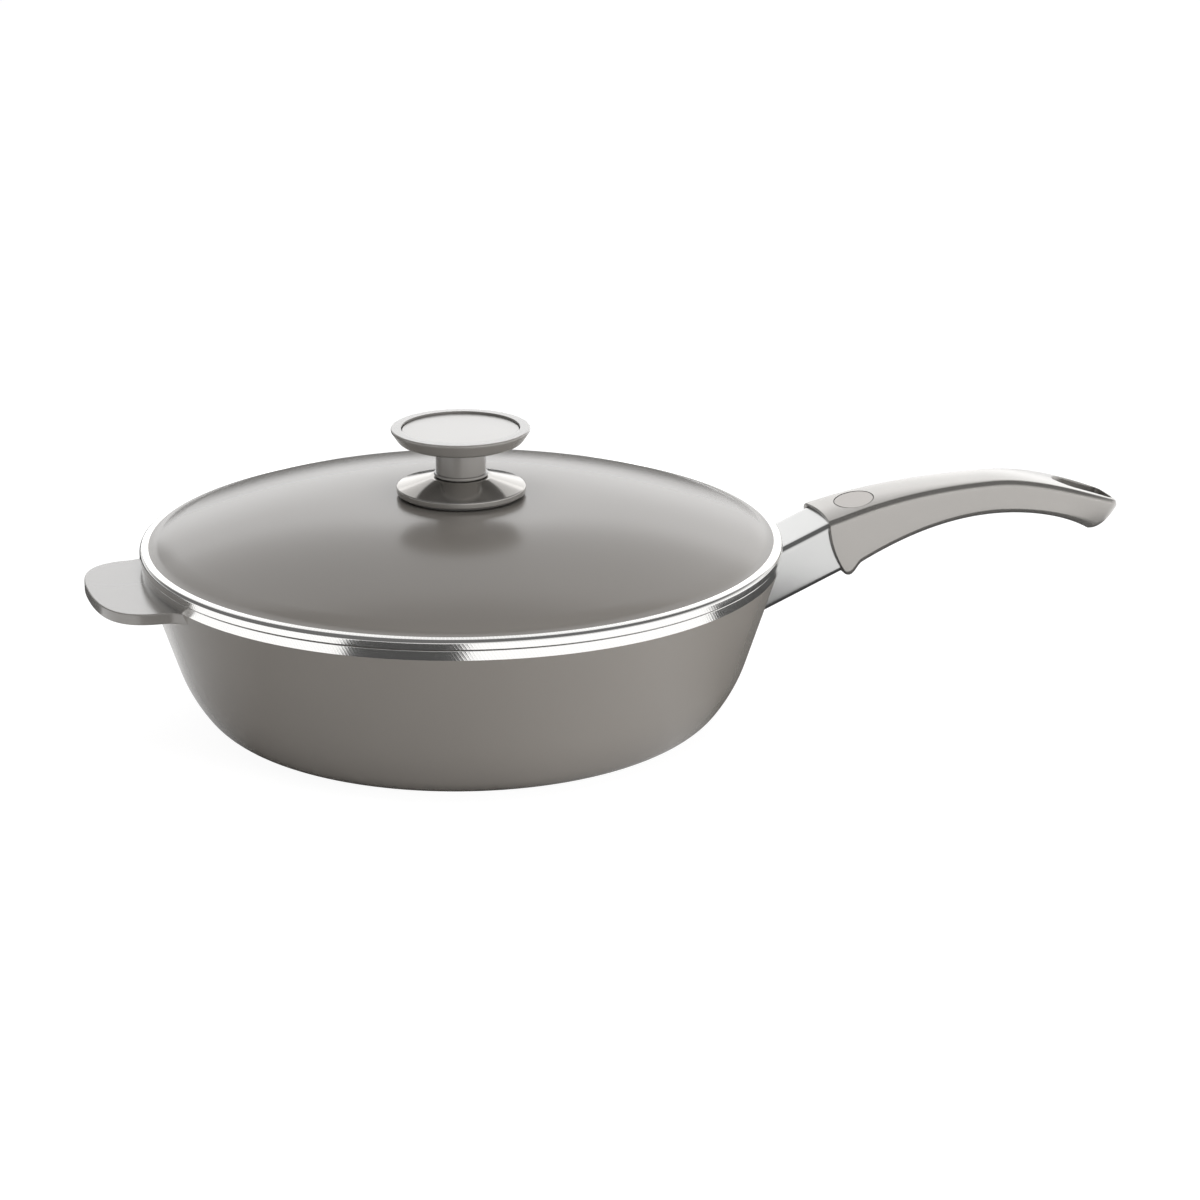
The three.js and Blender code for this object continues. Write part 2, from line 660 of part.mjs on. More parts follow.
function lidShell() {
  const innerRadius = domeRadius - LID_THICK;
  const underside = arc(
    domeCentre,
    innerRadius,
    Math.PI / 2,
    Math.acos((skirtInner - seatRadius) / innerRadius),
    DOME_STEPS,
  );
  const dome = arc(domeCentre, domeRadius, Math.acos(domeRun / domeRadius), Math.PI / 2, DOME_STEPS);
  const rim = outline([
    [skirtInner, -LID_EDGE - SKIRT_DEPTH],
    [skirtRadius, -LID_EDGE - SKIRT_DEPTH],
    [skirtRadius, -LID_EDGE],
    [lidRadius - RIM_EDGE, -LID_EDGE],
    [lidRadius, RIM_EDGE - LID_EDGE],
    [lidRadius, LID_EDGE_RISE, LID_EDGE_ROUND],
    [bevelInner, LID_BEVEL_RISE],
    [flangeInner, LID_FLANGE_RISE, FLANGE_FILLET],
    [shoulderRadius, SHOULDER_RISE],
  ]).slice(0, -1);
  const profile = [
    new THREE.Vector2(screwBore, bossBottom),
    new THREE.Vector2(BOSS_RADIUS, bossBottom),
    new THREE.Vector2(BOSS_RADIUS + BOSS_DEPTH / 2, LID_RISE - LID_THICK),
    ...underside,
    ...rim,
    ...dome,
    new THREE.Vector2(screwBore, LID_RISE),
    new THREE.Vector2(screwBore, bossBottom),
  ];
  return turned(profile, WIDE_TURN);
}

// The knob stacks up from the lid's flat seat: gasket, foot, stem with its cap, inlay.
const gasketRadius = FOOT_RADIUS - GASKET_INSET;
const beadRadius = STEM_RADIUS + BEAD_LIP;
const spigotRadius = STEM_RADIUS - SPIGOT_STEP;
const inlayRadius = CAP_RADIUS - CAP_RIM;
const gasketTop = LID_RISE + GAP + GASKET_THICK;
const footBottom = gasketTop + GAP;
const footTop = footBottom + FOOT_HEIGHT;
const stemFoot = footTop + GAP;
const spigotEnd = stemFoot - SPIGOT_LENGTH;
const stemTop = stemFoot + STEM_LENGTH;
const knobTop = stemTop + CAP_DEPTH;
const inlayTop = knobTop - INLAY_SUNK;
const insertTop = spigotEnd + GAP + INSERT_LENGTH;
const washerTop = bossBottom - GAP;
const knobScrewSeat = washerTop - WASHER_THICK - GAP;

function knobGasket() {
  return turnedRing([
    [screwBore, LID_RISE + GAP],
    [gasketRadius, LID_RISE + GAP],
    [gasketRadius, gasketTop],
    [screwBore, gasketTop],
  ], KNOB_TURN);
}

// Foot: a thick lip, a low cone and a narrow land round the hole for the stem's spigot.
function knobBase() {
  const lipTop = footBottom + FOOT_LIP;
  const socket = spigotRadius + GAP;
  return turnedRing([
    [screwBore, footBottom],
    [FOOT_RADIUS - FOOT_EDGE, footBottom],
    [FOOT_RADIUS, footBottom + FOOT_EDGE],
    [FOOT_RADIUS, lipTop - FOOT_EDGE],
    [FOOT_RADIUS - FOOT_EDGE, lipTop],
    [beadRadius + FOOT_LAND, footTop],
    [socket, footTop],
    [socket, spigotEnd - GAP],
    [screwBore, spigotEnd - GAP],
  ], KNOB_TURN);
}

// Stem on a spigot, with a bead at its foot, flaring into a cap that is recessed for the inlay and bored
// for the insert.
function knobBody() {
  const insertBore = INSERT_RADIUS + GAP;
  const inlayBore = inlayRadius + GAP;
  const inlayFloor = inlayTop - INLAY_THICK - GAP;
  const neckTop = stemTop - CAP_DISH;
  const profile = outline([
    [insertBore, spigotEnd],
    [spigotRadius, spigotEnd],
    [spigotRadius, stemFoot],
    [beadRadius, stemFoot],
    [beadRadius, stemFoot + BEAD_HEIGHT, BEAD_ROUND],
    [STEM_RADIUS, stemFoot + BEAD_HEIGHT],
    [STEM_RADIUS, neckTop, STEM_FLARE],
    [CAP_RADIUS - CAP_TAPER, stemTop, CAP_ROUND],
    [CAP_RADIUS, knobTop - CAP_EDGE],
    [CAP_RADIUS, knobTop, CAP_EDGE / 2],
    [inlayBore, knobTop],
    [inlayBore, inlayFloor],
    [0, inlayFloor],
    [0, insertTop + GAP],
    [insertBore, insertTop + GAP],
  ]);
  return turned([...profile, profile[0].clone()], KNOB_TURN);
}

function knobInlay() {
  return solid(rod(inlayRadius, inlayTop - INLAY_THICK, inlayTop, KNOB_TURN));
}

function knobInsert() {
  const bore = KNOB_SCREW_RADIUS + GAP;
  const bottom = insertTop - INSERT_LENGTH;
  return turnedRing(
    [[bore, bottom], [INSERT_RADIUS, bottom], [INSERT_RADIUS, insertTop], [bore, insertTop]],
    SMALL_TURN,
  );
}

function knobWasher() {
  const bottom = washerTop - WASHER_THICK;
  const bore = KNOB_SCREW_RADIUS + GAP;
  return turnedRing(
    [[bore, bottom], [KNOB_WASHER_RADIUS, bottom], [KNOB_WASHER_RADIUS, washerTop], [bore, washerTop]],
    SMALL_TURN,
  );
}

function knobScrew() {
  const end = insertTop - INSERT_LENGTH + KNOB_SCREW_GRIP;
  return screw(KNOB_SCREW_RADIUS, KNOB_HEAD_RADIUS, KNOB_HEAD, knobScrewSeat, end);
}

// Finishes
const taupeCoat = finish(0x7b7770, 0.42, 0.1);
const turnedSteel = finish(0xb9bbbc, 0.35, 1);
const satinSteel = finish(0xcfd0d0, 0.4, 1);
const gripPlastic = finish(0xa39d96, 0.5, 0);
const knobPlastic = finish(0x8d8881, 0.42, 0);
const palePlate = finish(0xd6d5d2, 0.38, 0.4);
const brass = finish(0xb79a55, 0.4, 1);
const silicone = finish(0x4a4947, 0.8, 0);

// Assembly
const pan = new THREE.Group();
pan.add(piece('pan_body', panBody(), taupeCoat));
pan.add(piece('base_disc', baseDisc(), turnedSteel));
pan.add(piece('handle_grip', handleGrip(), gripPlastic));
pan.add(piece('handle_badge', handleBadge(), palePlate));

handle.add(piece('flame_guard', flameGuard(), satinSteel));
const fastening = new THREE.Group();
fastening.position.x = SCREW_FROM_MOUTH;
fastening.add(piece('grip_screw', gripScrew(), turnedSteel));
fastening.add(piece('grip_screw_washer', gripWasher(), turnedSteel));
handle.add(fastening);
pan.add(handle);

const lid = new THREE.Group();
lid.position.z = LID_LINE;
lid.add(piece('lid_shell', lidShell(), taupeCoat));
lid.add(piece('knob_gasket', knobGasket(), silicone));
lid.add(piece('knob_base', knobBase(), knobPlastic));
lid.add(piece('knob_body', knobBody(), knobPlastic));
lid.add(piece('knob_inlay', knobInlay(), palePlate));
lid.add(piece('knob_insert', knobInsert(), brass));
lid.add(piece('knob_screw', knobScrew(), turnedSteel));
lid.add(piece('knob_washer', knobWasher(), turnedSteel));

const panWithLid = new THREE.Group();
panWithLid.add(pan);
panWithLid.add(lid);

export default panWithLid;
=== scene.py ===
"""Looks of a deep frying pan with a domed lid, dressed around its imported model."""

import logging
import math
from collections.abc import Iterable, Mapping, Sequence
from dataclasses import dataclass
from enum import Enum
from functools import cache

import bmesh
import bpy
from mathutils import Matrix, Vector


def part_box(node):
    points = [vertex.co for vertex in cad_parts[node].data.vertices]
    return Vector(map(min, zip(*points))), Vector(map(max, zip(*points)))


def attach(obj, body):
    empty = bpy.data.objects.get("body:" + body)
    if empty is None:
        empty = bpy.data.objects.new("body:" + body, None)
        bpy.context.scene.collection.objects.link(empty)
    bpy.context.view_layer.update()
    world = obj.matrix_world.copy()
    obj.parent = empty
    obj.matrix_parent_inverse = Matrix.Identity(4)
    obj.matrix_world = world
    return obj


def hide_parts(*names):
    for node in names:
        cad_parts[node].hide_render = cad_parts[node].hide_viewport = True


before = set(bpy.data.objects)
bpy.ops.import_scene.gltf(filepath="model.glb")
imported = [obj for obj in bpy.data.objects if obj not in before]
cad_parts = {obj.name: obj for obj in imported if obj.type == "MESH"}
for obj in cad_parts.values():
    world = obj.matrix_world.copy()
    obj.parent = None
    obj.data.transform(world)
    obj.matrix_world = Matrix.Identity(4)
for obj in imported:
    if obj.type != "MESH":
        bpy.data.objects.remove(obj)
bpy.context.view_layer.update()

LOG = logging.getLogger("pan")

MM = 0.001
GAP = 0.3
DOWN = -math.pi / 2
UP = math.pi / 2
FULL_TURN = 2 * math.pi
WIDE_TURN = 256
LID_TURN = 512
KNOB_TURN = 128
SMALL_TURN = 48
ROUND_SEGMENTS = 5
WELD = 1e-4
HALVINGS = 40
SHARP = math.radians(32)

Colour = tuple[float, float, float]
Socket = bpy.types.NodeSocket
Parts = Sequence[bmesh.types.BMVert | bmesh.types.BMEdge]

WHITE: Colour = (1.0, 1.0, 1.0)


class Body(Enum):
    """The two bodies that move against each other."""

    PAN = "pan"
    LID = "lid"


class Slot(Enum):
    """The record's material slots."""

    PAN_COAT = "pan_coat"
    LID_COAT = "lid_coat"
    BASE_STEEL = "base_steel"
    GUARD_METAL = "guard_metal"
    GRIP_PLASTIC = "grip_plastic"
    BADGE_PLATE = "badge_plate"
    SCREW_STEEL = "screw_steel"
    GASKET_RUBBER = "gasket_rubber"
    KNOB_FOOT = "knob_foot_gloss"
    KNOB_PLASTIC = "knob_plastic"
    INLAY_PLATE = "inlay_plate"
    INSERT_BRASS = "insert_brass"


class Join(Enum):
    """Ways to combine two closed meshes."""

    UNION = "UNION"
    CUT = "DIFFERENCE"


# Shader graphs


class Graph:
    """A node tree in the making, with short ways to add and join its nodes."""

    def __init__(self, tree: bpy.types.NodeTree) -> None:
        """Starts from an empty tree.

        Args:
            tree: The node tree to fill.
        """
        self.tree = tree
        tree.nodes.clear()

    def add(
        self, kind: str, values: Mapping[str | int, object] | None = None, **settings: object,
    ) -> bpy.types.Node:
        """Adds a node.

        Args:
            kind: The node's type name.
            values: What goes into its inputs: plain values, or sockets to join.
            settings: The node's own properties.

        Returns:
            The new node.
        """
        node = self.tree.nodes.new(kind)
        for key, value in settings.items():
            setattr(node, key, value)
        for key, value in (values or {}).items():
            self.feed(node.inputs[key], value)
        return node

    def feed(self, socket: Socket, value: object) -> None:
        """Joins a socket to an input, or sets the input's plain value.

        Args:
            socket: The input.
            value: The socket or value that goes into it.
        """
        if isinstance(value, bpy.types.NodeSocket):
            self.tree.links.new(value, socket)
        else:
            socket.default_value = value

    def math(self, operation: str, first: object, second: object = 0.0) -> Socket:
        """Adds a sum of two values.

        Args:
            operation: The name of the sum.
            first: Its first value or socket.
            second: Its second value or socket.

        Returns:
            The socket that holds the result.
        """
        return self.add("ShaderNodeMath", {0: first, 1: second}, operation=operation).outputs[0]

    def span(self, value: Socket, low: object, high: object) -> Socket:
        """Maps a mask from 0 to 1 onto another span.

        Args:
            value: The mask.
            low: What 0 becomes.
            high: What 1 becomes.

        Returns:
            The mapped value.
        """
        return self.add("ShaderNodeMapRange", {"Value": value, "To Min": low, "To Max": high}).outputs[0]

    def blend(self, mask: object, first: object, second: object) -> Socket:
        """Mixes two colours.

        Args:
            mask: How much of the second colour shows.
            first: The colour where the mask is 0.
            second: The colour where the mask is 1.

        Returns:
            The mixed colour.
        """
        node = self.add("ShaderNodeMix", data_type="RGBA")
        for index, value in ((0, mask), (6, first), (7, second)):
            self.feed(node.inputs[index], value)
        return node.outputs[2]

    def noise(self, place: Socket, scale: object, detail: float = 2.0) -> Socket:
        """Adds a noise texture.

        Args:
            place: The coordinates it reads.
            scale: How many features lie along a metre.
            detail: How many finer layers it has.

        Returns:
            Its value from 0 to 1.
        """
        return self.add("ShaderNodeTexNoise", {"Vector": place, "Scale": scale, "Detail": detail}).outputs[0]

    def grey(self, level: float) -> Socket:
        """Adds a diffuse shader of a grey level."""
        return self.add("ShaderNodeBsdfDiffuse", {"Color": shade(WHITE, level)}).outputs[0]

    def glow(self, strength: float) -> Socket:
        """Adds a white shader that glows with a strength."""
        return self.add("ShaderNodeEmission", {"Color": shade(WHITE, 1.0), "Strength": strength}).outputs[0]

    def toward(self, facing: Socket, direction: Sequence[float], share: float) -> Socket:
        """Finds how far a view faces a direction, never below 0.

        Args:
            facing: The view's direction.
            direction: The direction that it is held against.
            share: What facing it fully gives.

        Returns:
            The value, 0 on the far side.
        """
        along = self.add("ShaderNodeVectorMath", {0: facing, 1: direction}, operation="DOT_PRODUCT")
        return self.math("MULTIPLY", self.math("MAXIMUM", along.outputs["Value"], 0.0), share)


class Group(Graph):
    """A shader node group with named inputs and outputs."""

    def __init__(self, name: str, inputs: Mapping[str, str], outputs: Mapping[str, str]) -> None:
        """Makes the group and its two ends.

        Args:
            name: The group's name.
            inputs: The kinds of its inputs, by name.
            outputs: The kinds of its outputs, by name.
        """
        super().__init__(bpy.data.node_groups.new(name, "ShaderNodeTree"))
        for label, kind in inputs.items():
            self.tree.interface.new_socket(label, in_out="INPUT", socket_type=kind)
        for label, kind in outputs.items():
            self.tree.interface.new_socket(label, in_out="OUTPUT", socket_type=kind)
        self.start = self.add("NodeGroupInput").outputs
        self.end = self.add("NodeGroupOutput").inputs


NUMBER = "NodeSocketFloat"
PLACE = "NodeSocketVector"
MASK_AND_HEIGHT = {"Mask": NUMBER, "Height": NUMBER}
SOFT_DETAIL = 1.0
LINE_DETAIL = 4.0
DRIFT_SCALE = 60.0
PATCH_SCALE = 110.0
PATCH_DETAIL = 3.0
WAVE_SPAN = (-0.5, 1.5)
SMEAR_FINENESS = 5.0


@cache
def mottle() -> bpy.types.NodeTree:
    """Cloudy unevenness of a sprayed or moulded skin over its fine grain.

    Returns:
        A group that gives a soft Mask and a fine Height.
    """
    group = Group("mottle", {"Place": PLACE, "Clouds": NUMBER, "Grain": NUMBER}, MASK_AND_HEIGHT)
    for output, scale in (("Mask", "Clouds"), ("Height", "Grain")):
        group.feed(group.end[output], group.noise(group.start["Place"], group.start[scale], SOFT_DETAIL))
    return group.tree


@cache
def turned_marks() -> bpy.types.NodeTree:
    """Slanted cuts that a lathe tool leaves round the Z axis.

    Returns:
        A group that gives a Mask of the cuts and their Height.
    """
    inputs = {"Place": PLACE, "Cuts": NUMBER, "Slant": NUMBER, "Waver": NUMBER}
    group = Group("turned_marks", inputs, MASK_AND_HEIGHT)
    spot = group.add("ShaderNodeSeparateXYZ", {0: group.start["Place"]}).outputs
    angle = group.math("ARCTAN2", spot["Y"], spot["X"])
    turn = group.math("MULTIPLY", angle, group.start["Cuts"])
    slide = group.math("MULTIPLY", spot["Z"], group.start["Slant"])
    drift = group.math("MULTIPLY", group.noise(group.start["Place"], DRIFT_SCALE), group.start["Waver"])
    phase = group.math("ADD", group.math("ADD", turn, slide), drift)
    wave = group.span(group.math("SINE", phase), *WAVE_SPAN)
    patch = group.noise(group.start["Place"], PATCH_SCALE, PATCH_DETAIL)
    group.feed(group.end["Mask"], group.math("MULTIPLY", wave, patch))
    group.feed(group.end["Height"], wave)
    return group.tree


@cache
def drawn_lines() -> bpy.types.NodeTree:
    """Fine lines of brushed or drawn metal along one axis.

    Returns:
        A group that gives a Mask of the lines and their Height.
    """
    inputs = {"Place": PLACE, "Across": NUMBER, "Along": NUMBER}
    group = Group("drawn_lines", inputs, MASK_AND_HEIGHT)
    start = group.start
    scales = {"X": start["Along"], "Y": start["Across"], "Z": start["Across"]}
    stretch = group.add("ShaderNodeCombineXYZ", scales)
    factors = {0: start["Place"], 1: stretch.outputs[0]}
    scaled = group.add("ShaderNodeVectorMath", factors, operation="MULTIPLY")
    lines = group.noise(scaled.outputs[0], 1.0, LINE_DETAIL)
    for output in MASK_AND_HEIGHT:
        group.feed(group.end[output], lines)
    return group.tree


@cache
def handling() -> bpy.types.NodeTree:
    """Faint smears that hands and wiping leave in a gloss.

    Returns:
        A group that gives a Mask of the smears.
    """
    group = Group("handling", {"Place": PLACE, "Spread": NUMBER}, {"Mask": NUMBER})
    closer = group.math("MULTIPLY", group.start["Spread"], SMEAR_FINENESS)
    broad = group.noise(group.start["Place"], group.start["Spread"], SOFT_DETAIL)
    fine = group.noise(group.start["Place"], closer, SOFT_DETAIL)
    group.feed(group.end["Mask"], group.math("MULTIPLY", broad, fine))
    return group.tree


class Surface(Graph):
    """A material's graph round one Principled shader, on object coordinates."""

    def __init__(self, name: str) -> None:
        """Makes the material, its shader and its coordinates.

        Args:
            name: The material's name.
        """
        self.material = bpy.data.materials.new(name)
        self.material.use_nodes = True
        super().__init__(self.material.node_tree)
        self.shader = self.add("ShaderNodeBsdfPrincipled")
        self.add("ShaderNodeOutputMaterial", {"Surface": self.shader.outputs[0]})
        self.place = self.add("ShaderNodeTexCoord").outputs["Object"]

    def group(self, tree: bpy.types.NodeTree, values: Mapping[str, float]) -> bpy.types.NodeOutputs:
        """Places a node group on this surface.

        Args:
            tree: The group.
            values: Its input values, by name.

        Returns:
            The group's outputs.
        """
        node = self.add("ShaderNodeGroup", node_tree=tree)
        self.feed(node.inputs["Place"], self.place)
        for label, value in values.items():
            node.inputs[label].default_value = value
        return node.outputs

    def set(self, **values: object) -> None:
        """Sets or joins the shader's inputs, with underscores for the spaces in their names.

        Args:
            values: Plain values or sockets, by input.
        """
        for label, value in values.items():
            self.feed(self.shader.inputs[label.replace("_", " ")], value)

    def relief(self, height: Socket, depth: float) -> None:
        """Gives the surface a fine relief.

        Args:
            height: The height from 0 to 1.
            depth: What 1 stands for, in millimetres.
        """
        bump = self.add("ShaderNodeBump", {"Height": height, "Distance": depth * MM, "Strength": 1.0})
        self.set(Normal=bump.outputs[0])


def shade(colour: Colour, factor: float) -> tuple[float, float, float, float]:
    """Darkens or lightens a colour.

    Args:
        colour: Linear red, green and blue.
        factor: What to multiply them by.

    Returns:
        The colour with an opaque alpha.
    """
    return (*(min(1.0, c * factor) for c in colour), 1.0)


def hex_colour(code: int) -> Colour:
    """Turns a colour as seen on a screen into linear light.

    Args:
        code: The colour as 0xRRGGBB.

    Returns:
        Linear red, green and blue.
    """
    shares = [(code >> shift & 0xFF) / 0xFF for shift in (16, 8, 0)]
    red, green, blue = (s / 12.92 if s <= 0.04045 else ((s + 0.055) / 1.055) ** 2.4 for s in shares)
    return red, green, blue


# Finishes


@dataclass(frozen=True)
class Skin:
    """A sprayed coat or a moulded surface: cloudy colour, fine grain, uneven gloss.

    Fields: colour, how much the clouds change it, least and most roughness, clouds and grains along a
    metre, depth of the grain in millimetres, how metallic it is, its sheen head on and its clear coat.
    """

    name: str
    colour: Colour
    unevenness: float = 0.04
    roughness: tuple[float, float] = (0.3, 0.36)
    clouds: float = 14.0
    grain: float = 2400.0
    depth: float = 0.001
    metallic: float = 0.0
    specular: float = 0.5
    coat: float = 0.0

    @cache
    def material(self) -> bpy.types.Material:
        """Builds the material once.

        Returns:
            The material.
        """
        surface = Surface(self.name)
        skin = surface.group(mottle(), {"Clouds": self.clouds, "Grain": self.grain})
        smears = surface.group(handling(), {"Spread": self.clouds / 2})
        tone = surface.blend(
            skin["Mask"],
            shade(self.colour, 1 - self.unevenness),
            shade(self.colour, 1 + self.unevenness),
        )
        surface.set(
            Base_Color=tone,
            Roughness=surface.span(smears["Mask"], *self.roughness),
            Metallic=self.metallic,
            Specular_IOR_Level=self.specular,
            Coat_Weight=self.coat,
            Coat_Roughness=self.roughness[0],
        )
        surface.relief(skin["Height"], self.depth)
        return surface.material


@dataclass(frozen=True)
class TurnedMetal:
    """Bare metal from the lathe, with slanted cuts round its axis.

    Fields: colour, least and most roughness, how many cuts go round, how steeply they slant with height, how
    far they waver, how much they darken the metal, and their depth in millimetres.
    """

    name: str
    colour: Colour
    roughness: tuple[float, float] = (0.08, 0.15)
    cuts: float = 560.0
    slant: float = 2600.0
    waver: float = 5.0
    contrast: float = 0.05
    depth: float = 0.004

    @cache
    def material(self) -> bpy.types.Material:
        """Builds the material once.

        Returns:
            The material.
        """
        surface = Surface(self.name)
        marks = surface.group(turned_marks(), {"Cuts": self.cuts, "Slant": self.slant, "Waver": self.waver})
        tone = surface.blend(marks["Mask"], shade(self.colour, 1 - self.contrast), shade(self.colour, 1.0))
        surface.set(
            Base_Color=tone,
            Metallic=1.0,
            Roughness=surface.span(marks["Mask"], self.roughness[1], self.roughness[0]),
        )
        surface.relief(marks["Height"], self.depth)
        return surface.material


@dataclass(frozen=True)
class DrawnMetal:
    """Brushed sheet or drawn wire, with fine lines along the X axis.

    Fields: colour, least and most roughness, lines across a metre and breaks along it, how much they darken
    the metal, and their depth in millimetres.
    """

    name: str
    colour: Colour
    roughness: tuple[float, float] = (0.3, 0.42)
    across: float = 2600.0
    along: float = 60.0
    contrast: float = 0.06
    depth: float = 0.002

    @cache
    def material(self) -> bpy.types.Material:
        """Builds the material once.

        Returns:
            The material.
        """
        surface = Surface(self.name)
        lines = surface.group(drawn_lines(), {"Across": self.across, "Along": self.along})
        smears = surface.group(handling(), {"Spread": self.along})
        tone = surface.blend(lines["Mask"], shade(self.colour, 1 - self.contrast), shade(self.colour, 1.0))
        surface.set(Base_Color=tone, Metallic=1.0, Roughness=surface.span(smears["Mask"], *self.roughness))
        surface.relief(lines["Height"], self.depth)
        return surface.material


Finish = Skin | TurnedMetal | DrawnMetal
PAINT = Skin("satin_taupe_paint", hex_colour(0x76726D), roughness=(0.2, 0.24), specular=0.8)
EAR = Skin("ear_paint", hex_colour(0x777470), roughness=(0.2, 0.24), specular=0.8, coat=0.8)
NONSTICK = Skin(
    "nonstick_lining", hex_colour(0x4A4846), unevenness=0.12, roughness=(0.36, 0.5), grain=900.0, depth=0.01,
)
BAND = TurnedMetal("turned_aluminium", hex_colour(0xF8F7F5))
DISC = TurnedMetal(
    "turned_steel_disc", hex_colour(0xC4C5C6), roughness=(0.2, 0.28), cuts=0.0, slant=0.0, waver=6.0,
)
SLEEVE = DrawnMetal("satin_sleeve", hex_colour(0xD3D3D2), roughness=(0.2, 0.26))
STEEL = DrawnMetal("zinced_steel", hex_colour(0xC2C4C6), roughness=(0.24, 0.36))
BRASS = DrawnMetal("turned_brass", hex_colour(0xC7A65C), roughness=(0.26, 0.36))
GRIP = Skin("satin_grip", hex_colour(0xA3A09C), roughness=(0.2, 0.25), metallic=0.85, coat=0.5)
FOOT = Skin("gloss_foot", hex_colour(0xB4B1AD), roughness=(0.12, 0.16), metallic=0.85)
KNOB = Skin("satin_knob", hex_colour(0x777470), roughness=(0.2, 0.26), specular=0.8, coat=0.9)
PLATE = Skin("pale_plate", hex_colour(0xB9B8B6), roughness=(0.24, 0.3), metallic=0.6)
BADGE = Skin("badge_plate", hex_colour(0x9E9A96), roughness=(0.2, 0.25), metallic=0.85)
SILICONE = Skin("silicone", hex_colour(0x4A4947), roughness=(0.6, 0.75), grain=1100.0, depth=0.02)


# Mesh work


@dataclass(frozen=True)
class Corner:
    """A corner of an outline in millimetres: across, up, and the bevel that rounds it."""

    across: float
    up: float
    bevel: float = 0.0


def arc(centre: tuple[float, float], radius: float, start: float, end: float, steps: int) -> list[Corner]:
    """Lists corners along an arc.

    Args:
        centre: The arc's centre, across and up.
        radius: Its radius.
        start: The angle at which it starts.
        end: The angle at which it ends.
        steps: How many chords it has.

    Returns:
        The corners, both ends included.
    """
    angles = [start + (end - start) * i / steps for i in range(steps + 1)]
    return [Corner(centre[0] + radius * math.cos(a), centre[1] + radius * math.sin(a)) for a in angles]


def bezier(points: Sequence[Vector], share: float) -> Vector:
    """Finds a place on a Bezier curve.

    Args:
        points: Its ends and handles, in order.
        share: How far along it, from 0 to 1.

    Returns:
        The place.
    """
    layer = list(points)
    while len(layer) > 1:
        layer = [a.lerp(b, share) for a, b in zip(layer, layer[1:])]
    return layer[0]


def rounded_box(width: float, height: float, corner: float, steps: int, extra: int) -> list[Vector]:
    """Draws a rectangle with round corners about the origin, from the lower left on.

    Args:
        width: Its width.
        height: Its height.
        corner: The radius of its corners.
        steps: The chords on each corner.
        extra: The points between two corners.

    Returns:
        The outline's points in order.
    """
    points: list[Vector] = []
    turns = ((-1, -1, math.pi), (1, -1, 3 * UP), (1, 1, 0.0), (-1, 1, UP))
    for side, level, start in turns:
        centre = Vector((side * (width / 2 - corner), level * (height / 2 - corner)))
        round_off = [start + UP * i / steps for i in range(steps + 1)]
        points += [centre + corner * Vector((math.cos(a), math.sin(a))) for a in round_off]
    return spread_straights(points, steps, extra)


def spread_straights(points: Sequence[Vector], steps: int, extra: int) -> list[Vector]:
    """Adds even points to the straight runs of a four-cornered outline.

    Args:
        points: The outline, corner by corner.
        steps: The chords on each corner.
        extra: The points to add on each straight run.

    Returns:
        The outline with its added points.
    """
    full: list[Vector] = []
    for start in range(0, len(points), steps + 1):
        corner = points[start:start + steps + 1]
        following = points[(start + steps + 1) % len(points)]
        full += corner
        full += [corner[-1].lerp(following, i / (extra + 1)) for i in range(1, extra + 1)]
    return full


